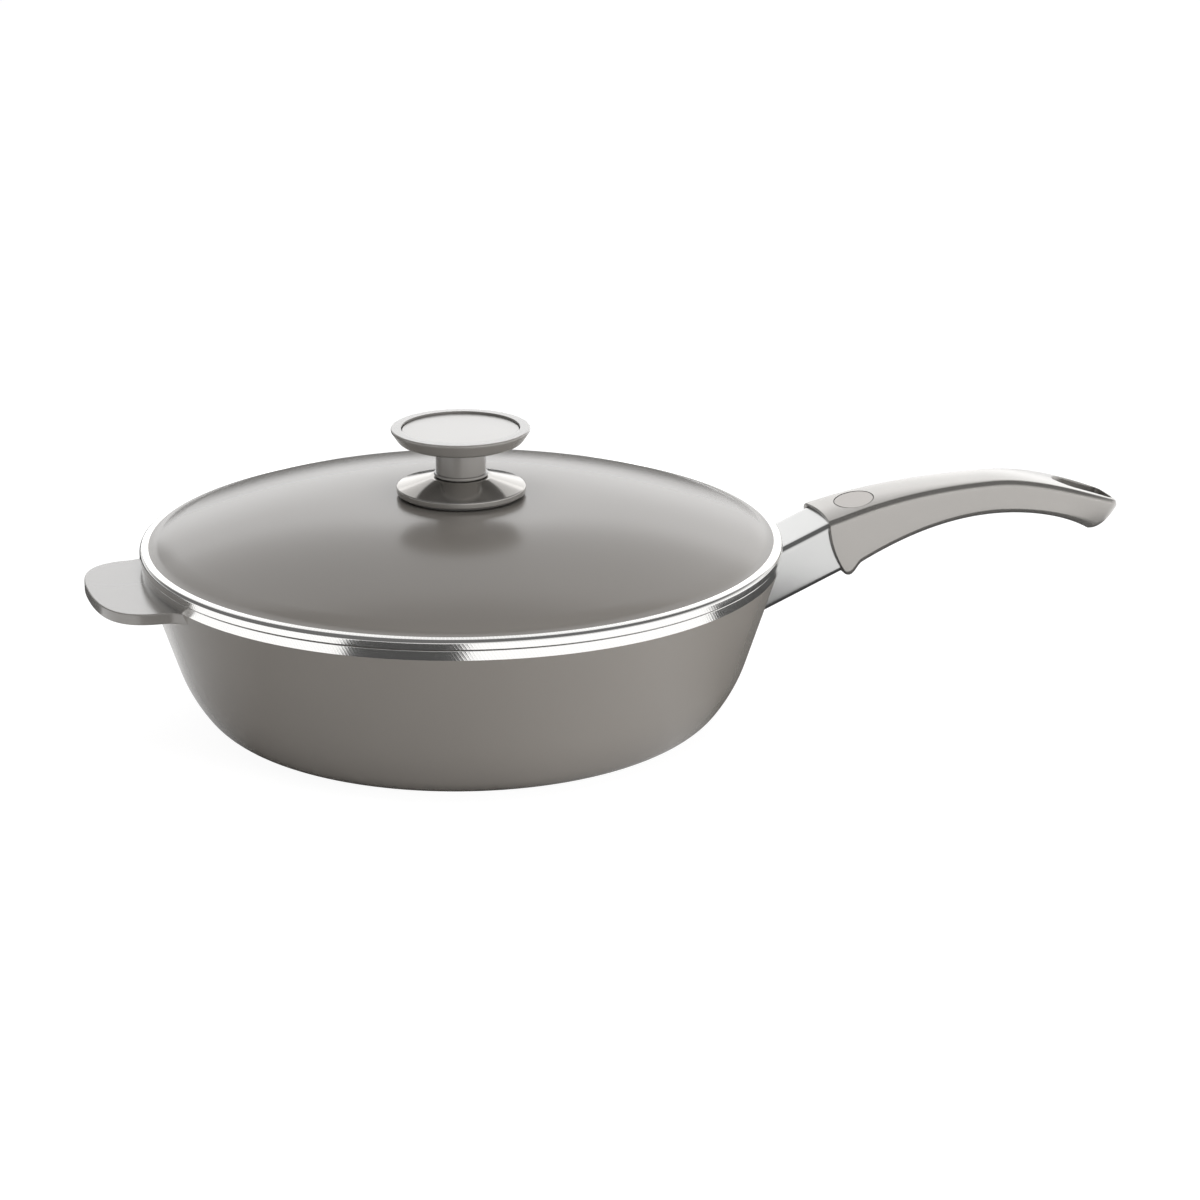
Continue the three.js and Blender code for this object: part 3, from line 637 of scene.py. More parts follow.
class Workpiece:
    """One piece in the making: a mesh in millimetres that ends as a named object in metres."""

    def __init__(self, name: str) -> None:
        """Starts an empty mesh.

        Args:
            name: The finished object's name.
        """
        self.name = name
        self.mesh = bmesh.new()

    def strip(
        self, corners: Sequence[Corner], finish: int = 0, turn: int = WIDE_TURN, closed: bool = False,
    ) -> None:
        """Draws an outline in the XZ plane, rounds its corners and spins it once round Z.

        Args:
            corners: The outline, as radius and height.
            finish: The index of the finish on this strip.
            turn: The steps of the spin.
            closed: Whether the outline closes on itself.
        """
        work = self.mesh
        held = {*work.verts, *work.edges, *work.faces}
        ring = [work.verts.new((c.across, 0.0, c.up)) for c in corners]
        for first, second in zip(ring, ring[1:] + ring[:1] if closed else ring[1:]):
            work.edges.new((first, second))
        for vert, corner in zip(ring, corners):
            if corner.bevel:
                self.round_off([vert], corner.bevel, "VERTICES")
        drawn = [part for part in (*work.verts, *work.edges) if part not in held]
        bmesh.ops.spin(
            work, geom=drawn, cent=(0, 0, 0), axis=(0, 0, 1), dvec=(0, 0, 0),
            angle=FULL_TURN, steps=turn, use_merge=True,
        )
        for face in work.faces:
            if face not in held:
                face.material_index = finish

    def round_off(self, geometry: Parts, reach: float, kind: str) -> None:
        """Bevels corners or edges into arcs.

        Args:
            geometry: The corners or edges.
            reach: How far from them the arc starts.
            kind: VERTICES or EDGES.
        """
        bmesh.ops.bevel(
            self.mesh, geom=list(geometry), offset=reach, offset_type="OFFSET", segments=ROUND_SEGMENTS,
            profile=0.5, affect=kind, material=-1, clamp_overlap=True,
        )

    def ring(self, points: Iterable[Vector]) -> list[bmesh.types.BMEdge]:
        """Adds a closed ring of edges.

        Args:
            points: The places that it runs through.

        Returns:
            The ring's edges.
        """
        places = list(points)
        made = bmesh.ops.create_circle(self.mesh, cap_ends=False, radius=1.0, segments=len(places))["verts"]
        for vert, place in zip(made, places):
            vert.co = place
        inside = set(made)
        return [edge for edge in {e for v in made for e in v.link_edges} if inside.issuperset(edge.verts)]

    def loft(self, rings: Sequence[Sequence[Vector]], closed: bool = False) -> list[list[bmesh.types.BMEdge]]:
        """Lays a skin over rings with equal counts and fills its two ends, or joins the last to the first.

        Args:
            rings: The rings, in order.
            closed: Whether the last ring joins the first.

        Returns:
            The edges of each ring.
        """
        made = [self.ring(points) for points in rings]
        for first, second in zip(made, made[1:] + made[:1] if closed else made[1:]):
            bmesh.ops.bridge_loops(self.mesh, edges=first + second)
        if not closed:
            for end in (made[0], made[-1]):
                bmesh.ops.edgeloop_fill(self.mesh, edges=end)
        return made

    def plate(self, points: Sequence[Vector], thickness: float) -> list[bmesh.types.BMEdge]:
        """Makes a flat plate from an outline in the XY plane.

        Args:
            points: The outline, at the plate's lower face.
            thickness: How far it is drawn up.

        Returns:
            The edges round its two faces.
        """
        bmesh.ops.edgeloop_fill(self.mesh, edges=self.ring(points))
        drawn = bmesh.ops.extrude_face_region(self.mesh, geom=self.mesh.faces[:])["geom"]
        top = [part for part in drawn if isinstance(part, bmesh.types.BMVert)]
        bmesh.ops.translate(self.mesh, vec=(0, 0, thickness), verts=top)
        return [e for e in self.mesh.edges if abs(e.verts[0].co.z - e.verts[1].co.z) < WELD]

    def move(self, matrix: Matrix) -> None:
        """Moves everything made so far.

        Args:
            matrix: The move, in millimetres.
        """
        bmesh.ops.transform(self.mesh, matrix=matrix, verts=self.mesh.verts[:])

    def finish(self, *materials: bpy.types.Material) -> bpy.types.Object:
        """Merges doubles, turns the faces outwards and makes the object.

        Args:
            materials: Its materials, by finish index.

        Returns:
            The object, with its place in its mesh.
        """
        bmesh.ops.remove_doubles(self.mesh, verts=self.mesh.verts[:], dist=WELD)
        bmesh.ops.recalc_face_normals(self.mesh, faces=self.mesh.faces[:])
        bmesh.ops.scale(self.mesh, vec=(MM, MM, MM), verts=self.mesh.verts[:])
        for face in self.mesh.faces:
            face.smooth = True
        data = bpy.data.meshes.new(self.name)
        self.mesh.to_mesh(data)
        self.mesh.free()
        for material in materials:
            data.materials.append(material)
        crease(data)
        return stand(self.name, data)


def turned(
    name: str, finish: Finish, corners: Sequence[Corner], turn: int = KNOB_TURN, closed: bool = False,
) -> bpy.types.Object:
    """Spins a piece of one finish.

    Args:
        name: The object's name.
        finish: Its finish.
        corners: Its outline, as radius and height.
        turn: The steps of the spin.
        closed: Whether the outline closes on itself.

    Returns:
        The piece.
    """
    work = Workpiece(name)
    work.strip(corners, turn=turn, closed=closed)
    return work.finish(finish.material())


def stand(name: str, data: bpy.types.ID) -> bpy.types.Object:
    """Puts an object into the scene.

    Args:
        name: The object's name.
        data: Its mesh, lamp or camera.

    Returns:
        The object, at the origin.
    """
    made = bpy.data.objects.new(name, data)
    bpy.context.scene.collection.objects.link(made)
    return made


def crease(data: bpy.types.Mesh) -> None:
    """Marks the steep edges sharp, and the seams between finishes.

    Args:
        data: The mesh.
    """
    data.set_sharp_from_angle(angle=SHARP)
    work = bmesh.new()
    work.from_mesh(data)
    for edge in work.edges:
        if len({face.material_index for face in edge.link_faces}) > 1:
            edge.smooth = False
    work.to_mesh(data)
    work.free()


def combine(base: bpy.types.Object, tool: bpy.types.Object, way: Join) -> None:
    """Joins a closed mesh to another or cuts it out of it, and removes it.

    Args:
        base: The object that stays.
        tool: The object that is used up.
        way: How the two are combined.
    """
    change = base.modifiers.new(way.name, "BOOLEAN")
    change.operation = way.value
    change.object = tool
    change.solver = "MANIFOLD"
    change.material_mode = "TRANSFER"
    graph = bpy.context.evaluated_depsgraph_get()
    result = bpy.data.meshes.new_from_object(base.evaluated_get(graph))
    base.modifiers.clear()
    old, base.data = base.data, result
    result.name = base.name
    bpy.data.meshes.remove(old)
    spent = tool.data
    bpy.data.objects.remove(tool)
    bpy.data.meshes.remove(spent)
    crease(result)


def place(piece: bpy.types.Object, body: Body, slot: Slot, *nodes: str) -> None:
    """Puts a finished piece on its body, in the stead of its nodes.

    Args:
        piece: The piece.
        body: The body that carries it.
        slot: The material slot for it; not used.
        nodes: The nodes that it stands for.
    """
    even = piece.modifiers.new("even_normals", "WEIGHTED_NORMAL")
    even.keep_sharp = True
    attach(piece, body.value)
    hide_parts(*nodes)
    LOG.info("%s: %d faces on %s", piece.name, len(piece.data.polygons), body.value)


# Sub-assemblies


@dataclass
class PanSide:
    """The pan's outside from base to rim: heel arc, belly arc, leaning wall and turned band."""

    rim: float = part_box("pan_body")[1].y / MM
    height: float = 78.2
    band: float = 4.4
    lean: float = math.radians(18.3)
    heel: float = 24.0
    heel_turn: float = math.radians(53)
    belly: float = 70.0
    wall: float = 4.2
    heel_steps: int = 14
    belly_steps: int = 12

    def __post_init__(self) -> None:
        """Works out the mouth and the arcs' centres."""
        wall_turn = UP - self.lean
        self.slope = math.tan(self.lean)
        self.mouth = self.rim + self.band * self.slope - self.wall / math.cos(self.lean)
        self.band_bottom = self.height - self.band
        self.heel_end = self.heel_turn + DOWN
        self.belly_end = wall_turn + DOWN
        heel_height = self.heel * (1 - math.cos(self.heel_turn))
        belly_height = self.belly * (math.cos(self.heel_turn) - math.cos(wall_turn))
        belly_spread = self.belly * (math.sin(wall_turn) - math.sin(self.heel_turn))
        wall_spread = (self.band_bottom - heel_height - belly_height) * self.slope
        heel_x = self.rim - wall_spread - belly_spread - self.heel * math.sin(self.heel_turn)
        inset = self.heel - self.belly
        self.heel_centre = (heel_x, self.heel)
        self.belly_centre = (
            heel_x + inset * math.sin(self.heel_turn),
            self.heel - inset * math.cos(self.heel_turn),
        )

    def outline(self) -> list[Corner]:
        """Lists the corners from the base to the band."""
        return [
            *arc(self.heel_centre, self.heel, DOWN, self.heel_end, self.heel_steps),
            *arc(self.belly_centre, self.belly, self.heel_end, self.belly_end, self.belly_steps)[1:],
            Corner(self.rim, self.band_bottom),
        ]

    def radius_at(self, height: float) -> float:
        """Finds the outside radius at a height.

        Args:
            height: The height above the surface the pan stands on.

        Returns:
            The radius there.
        """
        if height >= self.band_bottom:
            return self.rim
        run = self.outline()
        for low, high in zip(run, run[1:]):
            if low.up <= height <= high.up:
                share = (height - low.up) / (high.up - low.up)
                return low.across + share * (high.across - low.across)
        return run[0].across


@dataclass
class Handle:
    """The handle's own frame: X runs out along the guard from the middle of the grip's mouth."""

    side: PanSide
    mouth_reach: float = 31.5
    mouth_drop: float = 12.5
    mouth_lean: float = math.radians(18.6)
    rise: float = math.radians(22.5)
    guard_width: float = 31.5
    guard_height: float = 24.2
    guard_corner: float = 2.6
    guard_wall: float = 1.5
    guard_entry: float = 3.0
    tongue_width: float = 16.0
    tongue_height: float = 10.0
    tongue_length: float = 28.0
    tongue_corner: float = 1.3
    screw_from_mouth: float = 19.0

    def __post_init__(self) -> None:
        """Works out the frame."""
        self.mouth = Vector((self.side.rim + self.mouth_reach, 0.0, self.side.height - self.mouth_drop))
        self.matrix = Matrix.Translation(self.mouth) @ Matrix.Rotation(-self.rise, 4, "Y")

    def to_wall(self, across: float, up: float, gap: float) -> Vector:
        """Runs back along the handle until it meets the pan wall.

        Args:
            across: How far beside the handle's axis.
            up: How far above it, square to it.
            gap: What is left between the end and the wall.

        Returns:
            The place at which the run ends.
        """
        near, far = -2 * self.side.rim, 0.0
        for _ in range(HALVINGS):
            middle = (near + far) / 2
            point = self.matrix @ Vector((middle, across, up))
            wall = self.side.radius_at(point.z) + gap / math.cos(self.side.lean)
            inside = math.hypot(point.x, point.y) < wall
            near, far = (middle, far) if inside else (near, middle)
        return self.matrix @ Vector((far, across, up))

    def ring(self, section: Iterable[Vector], along: float) -> list[Vector]:
        """Stands a section square to the handle's axis, at a place along it."""
        return [self.matrix @ Vector((along, p.x, p.y)) for p in section]

    def scribe(self, section: Iterable[Vector], gap: float) -> list[Vector]:
        """Runs a section back to the pan wall and leaves a gap, or sinks it in where the gap is negative."""
        return [self.to_wall(p.x, p.y, gap) for p in section]


@dataclass
class PanBody:
    """The cast body with its lining, turned rim, helper ear and the stub for the handle."""

    side: PanSide
    handle: Handle
    floor: float = 6.5
    inner_corner: float = 15.0
    rim_round: float = 0.5
    base_ring: float = 7.9
    base_edge: float = 0.4
    disc_thick: float = 1.5
    disc_edge: float = 0.3
    groove_count: int = 3
    groove_pitch: float = 16.0
    groove_width: float = 2.4
    groove_depth: float = 0.5
    groove_edge: float = 0.2
    groove_round: float = 0.6
    ear_width: float = 80.0
    ear_thick: float = 5.0
    ear_side_pull: float = 5.0
    ear_nose_pull: float = 14.0
    ear_fillet: float = 5.5
    ear_edge: float = 1.0
    ear_root: float = 3.0
    ear_steps: int = 24
    belly_steps: int = 10
    corner_steps: int = 8

    def build(self) -> None:
        """Makes the body with its ear and stub, and the disc under it."""
        body = self.bowl()
        combine(body, self.ear(), Join.UNION)
        combine(body, self.stub(), Join.UNION)
        place(body, Body.PAN, Slot.PAN_COAT, "pan_body")
        place(self.disc(), Body.PAN, Slot.BASE_STEEL, "base_disc")

    @property
    def disc_radius(self) -> float:
        """The radius of the disc let into the base."""
        return self.side.heel_centre[0] - self.base_ring

    def bowl(self) -> bpy.types.Object:
        """Spins the painted outside, the turned rim and the lining.

        Returns:
            The bowl, a closed wall.
        """
        side = self.side
        recess = self.disc_thick + GAP
        inner_belly = side.belly - side.wall
        drop = side.belly_centre[1] - self.floor - self.inner_corner
        turn = math.acos(drop / (inner_belly - self.inner_corner))
        corner = (
            side.belly_centre[0] + (inner_belly - self.inner_corner) * math.sin(turn),
            self.floor + self.inner_corner,
        )
        lip = Corner(side.mouth - 2 * self.rim_round * side.slope, side.height - 2 * self.rim_round)
        work = Workpiece("pan_body_cast")
        work.strip([
            Corner(0, recess),
            Corner(self.disc_radius + GAP, recess),
            Corner(self.disc_radius + GAP, 0, self.base_edge),
            *side.outline(),
        ])
        work.strip([
            side.outline()[-1],
            Corner(side.rim, side.height, self.rim_round),
            Corner(side.mouth, side.height, self.rim_round),
            lip,
        ], 1)
        work.strip([
            lip,
            *arc(side.belly_centre, inner_belly, side.belly_end, turn + DOWN, self.belly_steps),
            *arc(corner, self.inner_corner, turn + DOWN, DOWN, self.corner_steps)[1:],
            Corner(0, self.floor),
        ], 2)
        return work.finish(PAINT.material(), BAND.material(), NONSTICK.material())

    def ear(self) -> bpy.types.Object:
        """Makes the helper ear, with its root inside the wall.

        Returns:
            The ear, a closed plate with round edges.
        """
        tip = -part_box("pan_body")[0].x / MM
        half = self.ear_width / 2
        inner = self.side.rim - self.side.wall / 2
        root_y = half + self.ear_fillet
        root_x = math.sqrt(inner ** 2 - root_y ** 2)
        straight = root_x + 2 * self.ear_fillet
        flare = [(root_x, root_y), (root_x + self.ear_fillet, half), (straight, half)]
        pulls = [(tip - self.ear_side_pull, half), (tip, half - self.ear_nose_pull)]
        nose = [flare[-1], *pulls, (tip, 0)]
        points: list[Vector] = []
        for curve in (flare, nose):
            handles = [Vector((x, y, 0)) for x, y in curve]
            points += [bezier(handles, i / self.ear_steps) for i in range(self.ear_steps)]
        points.append(Vector((tip, 0, 0)))
        mirrored = [Vector((p.x, -p.y, 0)) for p in reversed(points[:-1])]
        buried = self.side.rim - self.ear_root
        sweep = math.asin(root_y / buried)
        bend = arc((0, 0), buried, -sweep, sweep, self.ear_steps)
        root = [Vector((c.across, c.up, 0)) for c in bend]
        work = Workpiece("ear")
        edges = work.plate(points + mirrored + root, self.ear_thick)
        work.round_off(edges, self.ear_edge, "EDGES")
        below_band = Matrix.Translation((0, 0, self.side.band_bottom - self.ear_thick))
        work.move(below_band @ Matrix.Rotation(math.pi, 4, "Z"))
        return work.finish(EAR.material())

    def stub(self) -> bpy.types.Object:
        """Makes the stub that fills the guard and narrows to the tongue in the grip.

        Returns:
            The stub, with its root inside the wall.
        """
        handle = self.handle
        inset = 2 * (handle.guard_wall + GAP)
        sizes = (
            (handle.guard_width - inset, handle.guard_height - inset),
            (handle.tongue_width, handle.tongue_height),
        )
        thick, thin = (rounded_box(*size, handle.tongue_corner, ROUND_SEGMENTS, 1) for size in sizes)
        shoulder = handle.guard_entry - GAP
        work = Workpiece("stub")
        work.loft([
            handle.scribe(thick, -self.side.wall / 2),
            handle.ring(thick, shoulder),
            handle.ring(thin, shoulder),
            handle.ring(thin, handle.tongue_length),
        ])
        return work.finish(PAINT.material())

    def disc(self) -> bpy.types.Object:
        """Spins the grooved steel disc under the base.

        Returns:
            The disc.
        """
        grooves: list[Corner] = []
        for i in range(self.groove_count):
            middle = self.disc_radius - (self.groove_count - i) * self.groove_pitch
            grooves += [
                Corner(middle - self.groove_width / 2, 0, self.groove_edge),
                Corner(middle, self.groove_depth, self.groove_round),
                Corner(middle + self.groove_width / 2, 0, self.groove_edge),
            ]
        return turned("base_disc_turned", DISC, [
            Corner(0, 0),
            *grooves,
            Corner(self.disc_radius, 0, self.disc_edge),
            Corner(self.disc_radius, self.disc_thick),
            Corner(0, self.disc_thick),
        ])


@dataclass
class FlameGuard:
    """The metal sleeve between the pan wall and the grip, scribed to the wall."""

    handle: Handle
    corner_steps: int = 8
    between: int = 14

    def build(self) -> None:
        """Lofts the sleeve round its stub."""
        handle = self.handle
        outer, inner = (
            rounded_box(
                handle.guard_width - 2 * inset, handle.guard_height - 2 * inset, handle.guard_corner - inset,
                self.corner_steps, self.between,
            )
            for inset in (0.0, handle.guard_wall)
        )
        work = Workpiece("flame_guard_sleeve")
        work.loft([
            handle.scribe(outer, GAP),
            handle.ring(outer, handle.guard_entry),
            handle.ring(inner, handle.guard_entry),
            handle.scribe(inner, GAP),
        ], closed=True)
        place(work.finish(SLEEVE.material()), Body.PAN, Slot.GUARD_METAL, "flame_guard")


@dataclass
class Grip:
    """The moulded grip: lips round the mouth with a beak below, an arched back, a waist and a broad nose."""

    handle: Handle
    length: float = 147.0
    lip: float = 2.2
    lip_side: float = 1.9
    lip_round: float = 1.1
    top_dip: float = 1.4
    side_bulge: float = 2.0
    depth: float = 16.6
    crown: float = 0.7
    edge: float = 2.8
    beak_depth: float = 1.8
    beak_length: float = 8.7
    beak_rise: float = 5.1
    beak_hook: float = 4.4
    beak_hook_drop: float = 2.7
    beak_pull: float = 3.2
    back_slope: float = 0.25
    belly_slope: float = 0.44
    crest_rise: float = 10.6
    crest_from_tip: float = 66.0
    waist_width: float = 24.6
    waist_taper: float = 0.1
    nose_length: float = 5.0
    nose_drop: float = 14.3
    nose_slope: float = 0.38
    nose_width: float = 26.4
    nose_taper: float = 0.28
    toe_from_tip: float = 17.6
    toe_drop: float = 11.2
    toe_slope: float = 0.62
    toe_round: float = 7.0
    toe_sag: float = 1.5
    tip_drop: float = 19.0
    tip_depth: float = 2.0
    tip_setback: float = 1.2
    tip_width: float = 11.8
    tip_round: float = 0.8
    slot_length: float = 27.7
    slot_width: float = 19.2
    slot_end_wall: float = 3.5
    slot_corner: float = 4.5
    slot_lip: float = 0.9
    slot_reach: float = 6.0
    slot_flare: tuple[float, ...] = (0.0, 0.5, 1.0, UP)
    badge_along: float = 18.0
    badge_across: float = 22.0
    badge_thick: float = 1.4
    badge_from_mouth: float = 19.0
    badge_sunk: float = 0.15
    badge_edge: float = 0.35
    badge_clear: float = 8.0
    badge_walk: int = 200
    badge_ahead: float = 0.01
    screw_seat: float = 1.6
    hole_radius: float = 5.1
    shank_hole: float = 2.5
    slot_steps: int = 12
    corner_steps: int = 6
    between: int = 7
    steps: tuple[int, int, int, int] = (10, 26, 26, 14)

    def __post_init__(self) -> None:
        """Works out the edges of the back, the belly and the half width, each in four stretches."""
        handle = self.handle
        lean = handle.mouth_lean
        up = Vector((-math.sin(lean), math.cos(lean)))
        centre = Vector((handle.mouth.x, handle.mouth.z))
        self.mouth_normal = Vector((math.cos(lean), math.sin(lean)))
        self.top = centre + up * (handle.guard_height / 2 + self.lip)
        self.bottom = centre - up * (handle.guard_height / 2 + self.beak_depth)
        self.tip = centre.x + self.length
        self.arch_top = self.top.y + self.crest_rise
        self.back = self.back_edge()
        self.belly = self.belly_edge()
        self.half = self.half_edge()

    @staticmethod
    def sweep(start: Vector, end: tuple[float, float], leaving: float, arriving: float) -> list[Vector]:
        """Draws a smooth stretch between two places.

        Args:
            start: Where it starts.
            end: Where it ends.
            leaving: The slope at its start.
            arriving: The slope at its end.

        Returns:
            The stretch as a Bezier curve.
        """
        stop = Vector(end)
        third = (stop.x - start.x) / 3
        first = start + Vector((third, leaving * third))
        second = stop - Vector((third, arriving * third))
        return [start, first, second, stop]

    def back_edge(self) -> list[list[Vector]]:
        """Draws the line along the back, from the mouth to the tip.

        Returns:
            The line as four Bezier curves.
        """
        run, slope = self.beak_length, self.back_slope
        nose_top = self.arch_top - self.nose_drop
        mouth = self.sweep(self.top, (self.top.x + run, self.top.y + slope * run), slope, slope)
        rise = self.sweep(mouth[-1], (self.tip - self.crest_from_tip, self.arch_top), slope, 0)
        fall = self.sweep(rise[-1], (self.tip - self.nose_length, nose_top), 0, -self.nose_slope)
        corner = Vector((self.tip - self.tip_setback, nose_top - self.tip_setback))
        return [mouth, rise, fall, [fall[-1], corner, Vector((self.tip, self.arch_top - self.tip_drop))]]

    def belly_edge(self) -> list[list[Vector]]:
        """Draws the line along the belly, from the mouth to the tip.

        Returns:
            The line as four Bezier curves.
        """
        low, slope = self.bottom, self.belly_slope
        end = low + Vector((self.beak_length, self.beak_rise))
        hook = low + Vector((self.beak_hook, -self.beak_hook_drop))
        beak = [low, hook, end - Vector((self.beak_pull, slope * self.beak_pull)), end]
        arch = self.arch_top - self.depth
        rise = self.sweep(end, (self.tip - self.crest_from_tip, arch), slope, 0)
        fall = self.sweep(rise[-1], (self.tip - self.toe_from_tip, arch - self.toe_drop), 0, -self.toe_slope)
        turn = fall[-1] + Vector((self.toe_round, -self.toe_sag))
        last = Vector((self.tip - self.tip_setback, self.arch_top - self.tip_drop - self.tip_depth))
        return [beak, rise, fall, [fall[-1], turn, last]]

    def half_edge(self) -> list[list[Vector]]:
        """Draws half the width, from the mouth to the tip.

        Returns:
            The half width as four Bezier curves.
        """
        mouth = self.handle.guard_width / 2 + self.lip_side
        run, taper, nose = self.beak_length, self.waist_taper, self.nose_width / 2
        first = self.sweep(
            Vector((self.top.x, mouth)), (self.top.x + run, mouth - taper * run / 2), 0, -taper,
        )
        waist = self.sweep(first[-1], (self.tip - self.crest_from_tip, self.waist_width / 2), -taper, 0)
        swell = self.sweep(waist[-1], (self.tip - self.nose_length, nose), 0, -self.nose_taper)
        corner = Vector((self.tip - self.tip_setback, nose - self.tip_setback))
        return [first, waist, swell, [swell[-1], corner, Vector((self.tip, self.tip_width / 2))]]

    def mouth_shift(self, across: float, level: float) -> float:
        """Finds how far the mouth's face lies in front of its plane.

        Args:
            across: The place across the grip, from -1 to 1.
            level: The place up the grip, from 0 to 1.

        Returns:
            The shift along the handle, in millimetres.
        """
        dip = self.top_dip * (1 - across ** 2) * level
        bulge = self.side_bulge * (1 - (2 * level - 1) ** 2) * abs(across)
        return dip - bulge

    def section(self, stretch: int, share: float) -> list[Vector]:
        """Draws one section: straight sides, a crowned top and round edges.

        Args:
            stretch: Which of the four stretches it lies on.
            share: How far along the stretch.

        Returns:
            The section's points in order.
        """
        top, bottom, width = (bezier(edge[stretch], share) for edge in (self.back, self.belly, self.half))
        half = width.y
        rise = top - bottom
        depth = rise.length
        rise.normalize()
        edge = min(self.edge, depth / 3, half / 3)
        crown = min(self.crown, depth / 4)
        pull = (1 - share) ** 2 if stretch == 0 else 0.0
        points = []
        for flat in rounded_box(2 * half, depth, edge, self.corner_steps, self.between):
            level = flat.y / depth + 0.5
            across = flat.x / half
            up = flat.y + depth / 2 - crown * across ** 2 * level ** 4
            shift = self.mouth_normal * (pull * self.mouth_shift(across, level))
            place_on = bottom + rise * up + shift
            points.append(Vector((place_on.x, flat.x, place_on.y)))
        return points

    def pocket(self, width: float, height: float, corner: float, depth: float | None) -> list[Vector]:
        """Draws a ring of the pocket for the guard or the tongue.

        Args:
            width: The pocket's width.
            height: Its height.
            corner: The radius of its corners.
            depth: How far in from the mouth it lies, or None on the mouth's own face.

        Returns:
            The ring's points in order.
        """
        points = []
        turn = self.handle.rise - self.handle.mouth_lean
        for flat in rounded_box(width, height, corner, self.corner_steps, self.between):
            along = depth
            if along is None:
                shift = self.mouth_shift(2 * flat.x / width, flat.y / height + 0.5)
                along = (shift + flat.y * math.sin(turn)) / math.cos(turn)
            points.append(self.handle.matrix @ Vector((along, flat.x, flat.y)))
        return points

    def build(self) -> None:
        """Makes the grip and its badge."""
        grip = self.moulding()
        combine(grip, self.slot_cutter(), Join.CUT)
        combine(grip, self.oval("badge_hole", 2 * GAP, self.badge_thick + GAP, self.badge_clear), Join.CUT)
        combine(grip, self.screw_hole(), Join.CUT)
        place(grip, Body.PAN, Slot.GRIP_PLASTIC, "handle_grip")
        badge = self.oval("handle_badge_plate", 0.0, self.badge_thick, 0.0)
        place(badge, Body.PAN, Slot.BADGE_PLATE, "handle_badge")

    def moulding(self) -> bpy.types.Object:
        """Lofts the grip from the bottom of its pocket, out over the lip and on to the tip.

        Returns:
            The grip, closed, before its holes are cut.
        """
        handle = self.handle
        floor = handle.guard_entry + GAP
        guard = (handle.guard_width + 2 * GAP, handle.guard_height + 2 * GAP, handle.guard_corner + GAP)
        tongue = (handle.tongue_width + 2 * GAP, handle.tongue_height + 2 * GAP, handle.tongue_corner + GAP)
        inside = [
            self.pocket(*tongue, handle.tongue_length + GAP),
            self.pocket(*tongue, floor),
            self.pocket(*guard, floor),
            self.pocket(*guard, None),
        ]
        outside = [self.section(0, 0.0)]
        for stretch, steps in enumerate(self.steps):
            outside += [self.section(stretch, (i + 1) / steps) for i in range(steps)]
        work = Workpiece("handle_grip_moulded")
        rings = work.loft(inside + outside)
        work.round_off(rings[len(inside)], self.lip_round, "EDGES")
        work.round_off(rings[-1], self.tip_round, "EDGES")
        return work.finish(GRIP.material())

    def level_at(self, edge: Sequence[Sequence[Vector]], across: float) -> float:
        """Finds the height of an edge line at a place along the grip.

        Args:
            edge: The line, in stretches.
            across: The place along X.

        Returns:
            The height there.
        """
        for stretch in edge:
            if across <= stretch[-1].x:
                low, high = 0.0, 1.0
                for _ in range(HALVINGS):
                    middle = (low + high) / 2
                    low, high = (middle, high) if bezier(stretch, middle).x < across else (low, middle)
                return bezier(stretch, low).y
        return edge[-1][-1].y

    def slot_outline(self, grow: float) -> list[Vector]:
        """Draws the slot from above: round at the pan's side, with small corners at the tip.

        Args:
            grow: What is added all round.

        Returns:
            The outline's points in order.
        """
        half = self.slot_width / 2
        end = self.tip - self.slot_end_wall
        near, far = end - self.slot_length + half, end - self.slot_corner
        side = half - self.slot_corner
        turns = (
            (far, -side, self.slot_corner, DOWN, 0.0),
            (far, side, self.slot_corner, 0.0, UP),
            (near, 0.0, half, UP, UP + math.pi),
        )
        points: list[Vector] = []
        for x, y, radius, start, end in turns:
            steps = round(self.slot_steps * (end - start) / UP)
            points += [Vector((c.across, c.up)) for c in arc((x, y), radius + grow, start, end, steps)]
        return points

    def slot_cutter(self) -> bpy.types.Object:
        """Makes the tool that cuts the hanging slot, flared where it meets the back and the belly.

        Returns:
            The tool, closed.
        """
        lip = self.slot_lip
        bends = [(lip * (1 - math.sin(a)), lip * (1 - math.cos(a))) for a in self.slot_flare]
        rings: list[list[Vector]] = []
        for edge, sense in ((self.belly, 1), (self.back, -1)):
            for grow, inward in [(lip, -self.slot_reach), *bends][::sense]:
                outline = self.slot_outline(grow)
                rings.append([Vector((p.x, p.y, self.level_at(edge, p.x) + sense * inward)) for p in outline])
        work = Workpiece("slot_cutter")
        work.loft(rings)
        return work.finish(GRIP.material())

    def badge_spot(self) -> tuple[int, float]:
        """Walks along the back from the mouth to the badge's middle.

        Returns:
            The stretch that it lies on, and how far along that stretch.
        """
        run = 0.0
        here = self.top
        for stretch, curve in enumerate(self.back):
            for i in range(1, self.badge_walk + 1):
                ahead = bezier(curve, i / self.badge_walk)
                run += (ahead - here).length
                here = ahead
                if run >= self.badge_from_mouth:
                    return stretch, i / self.badge_walk
        return len(self.back) - 1, 1.0

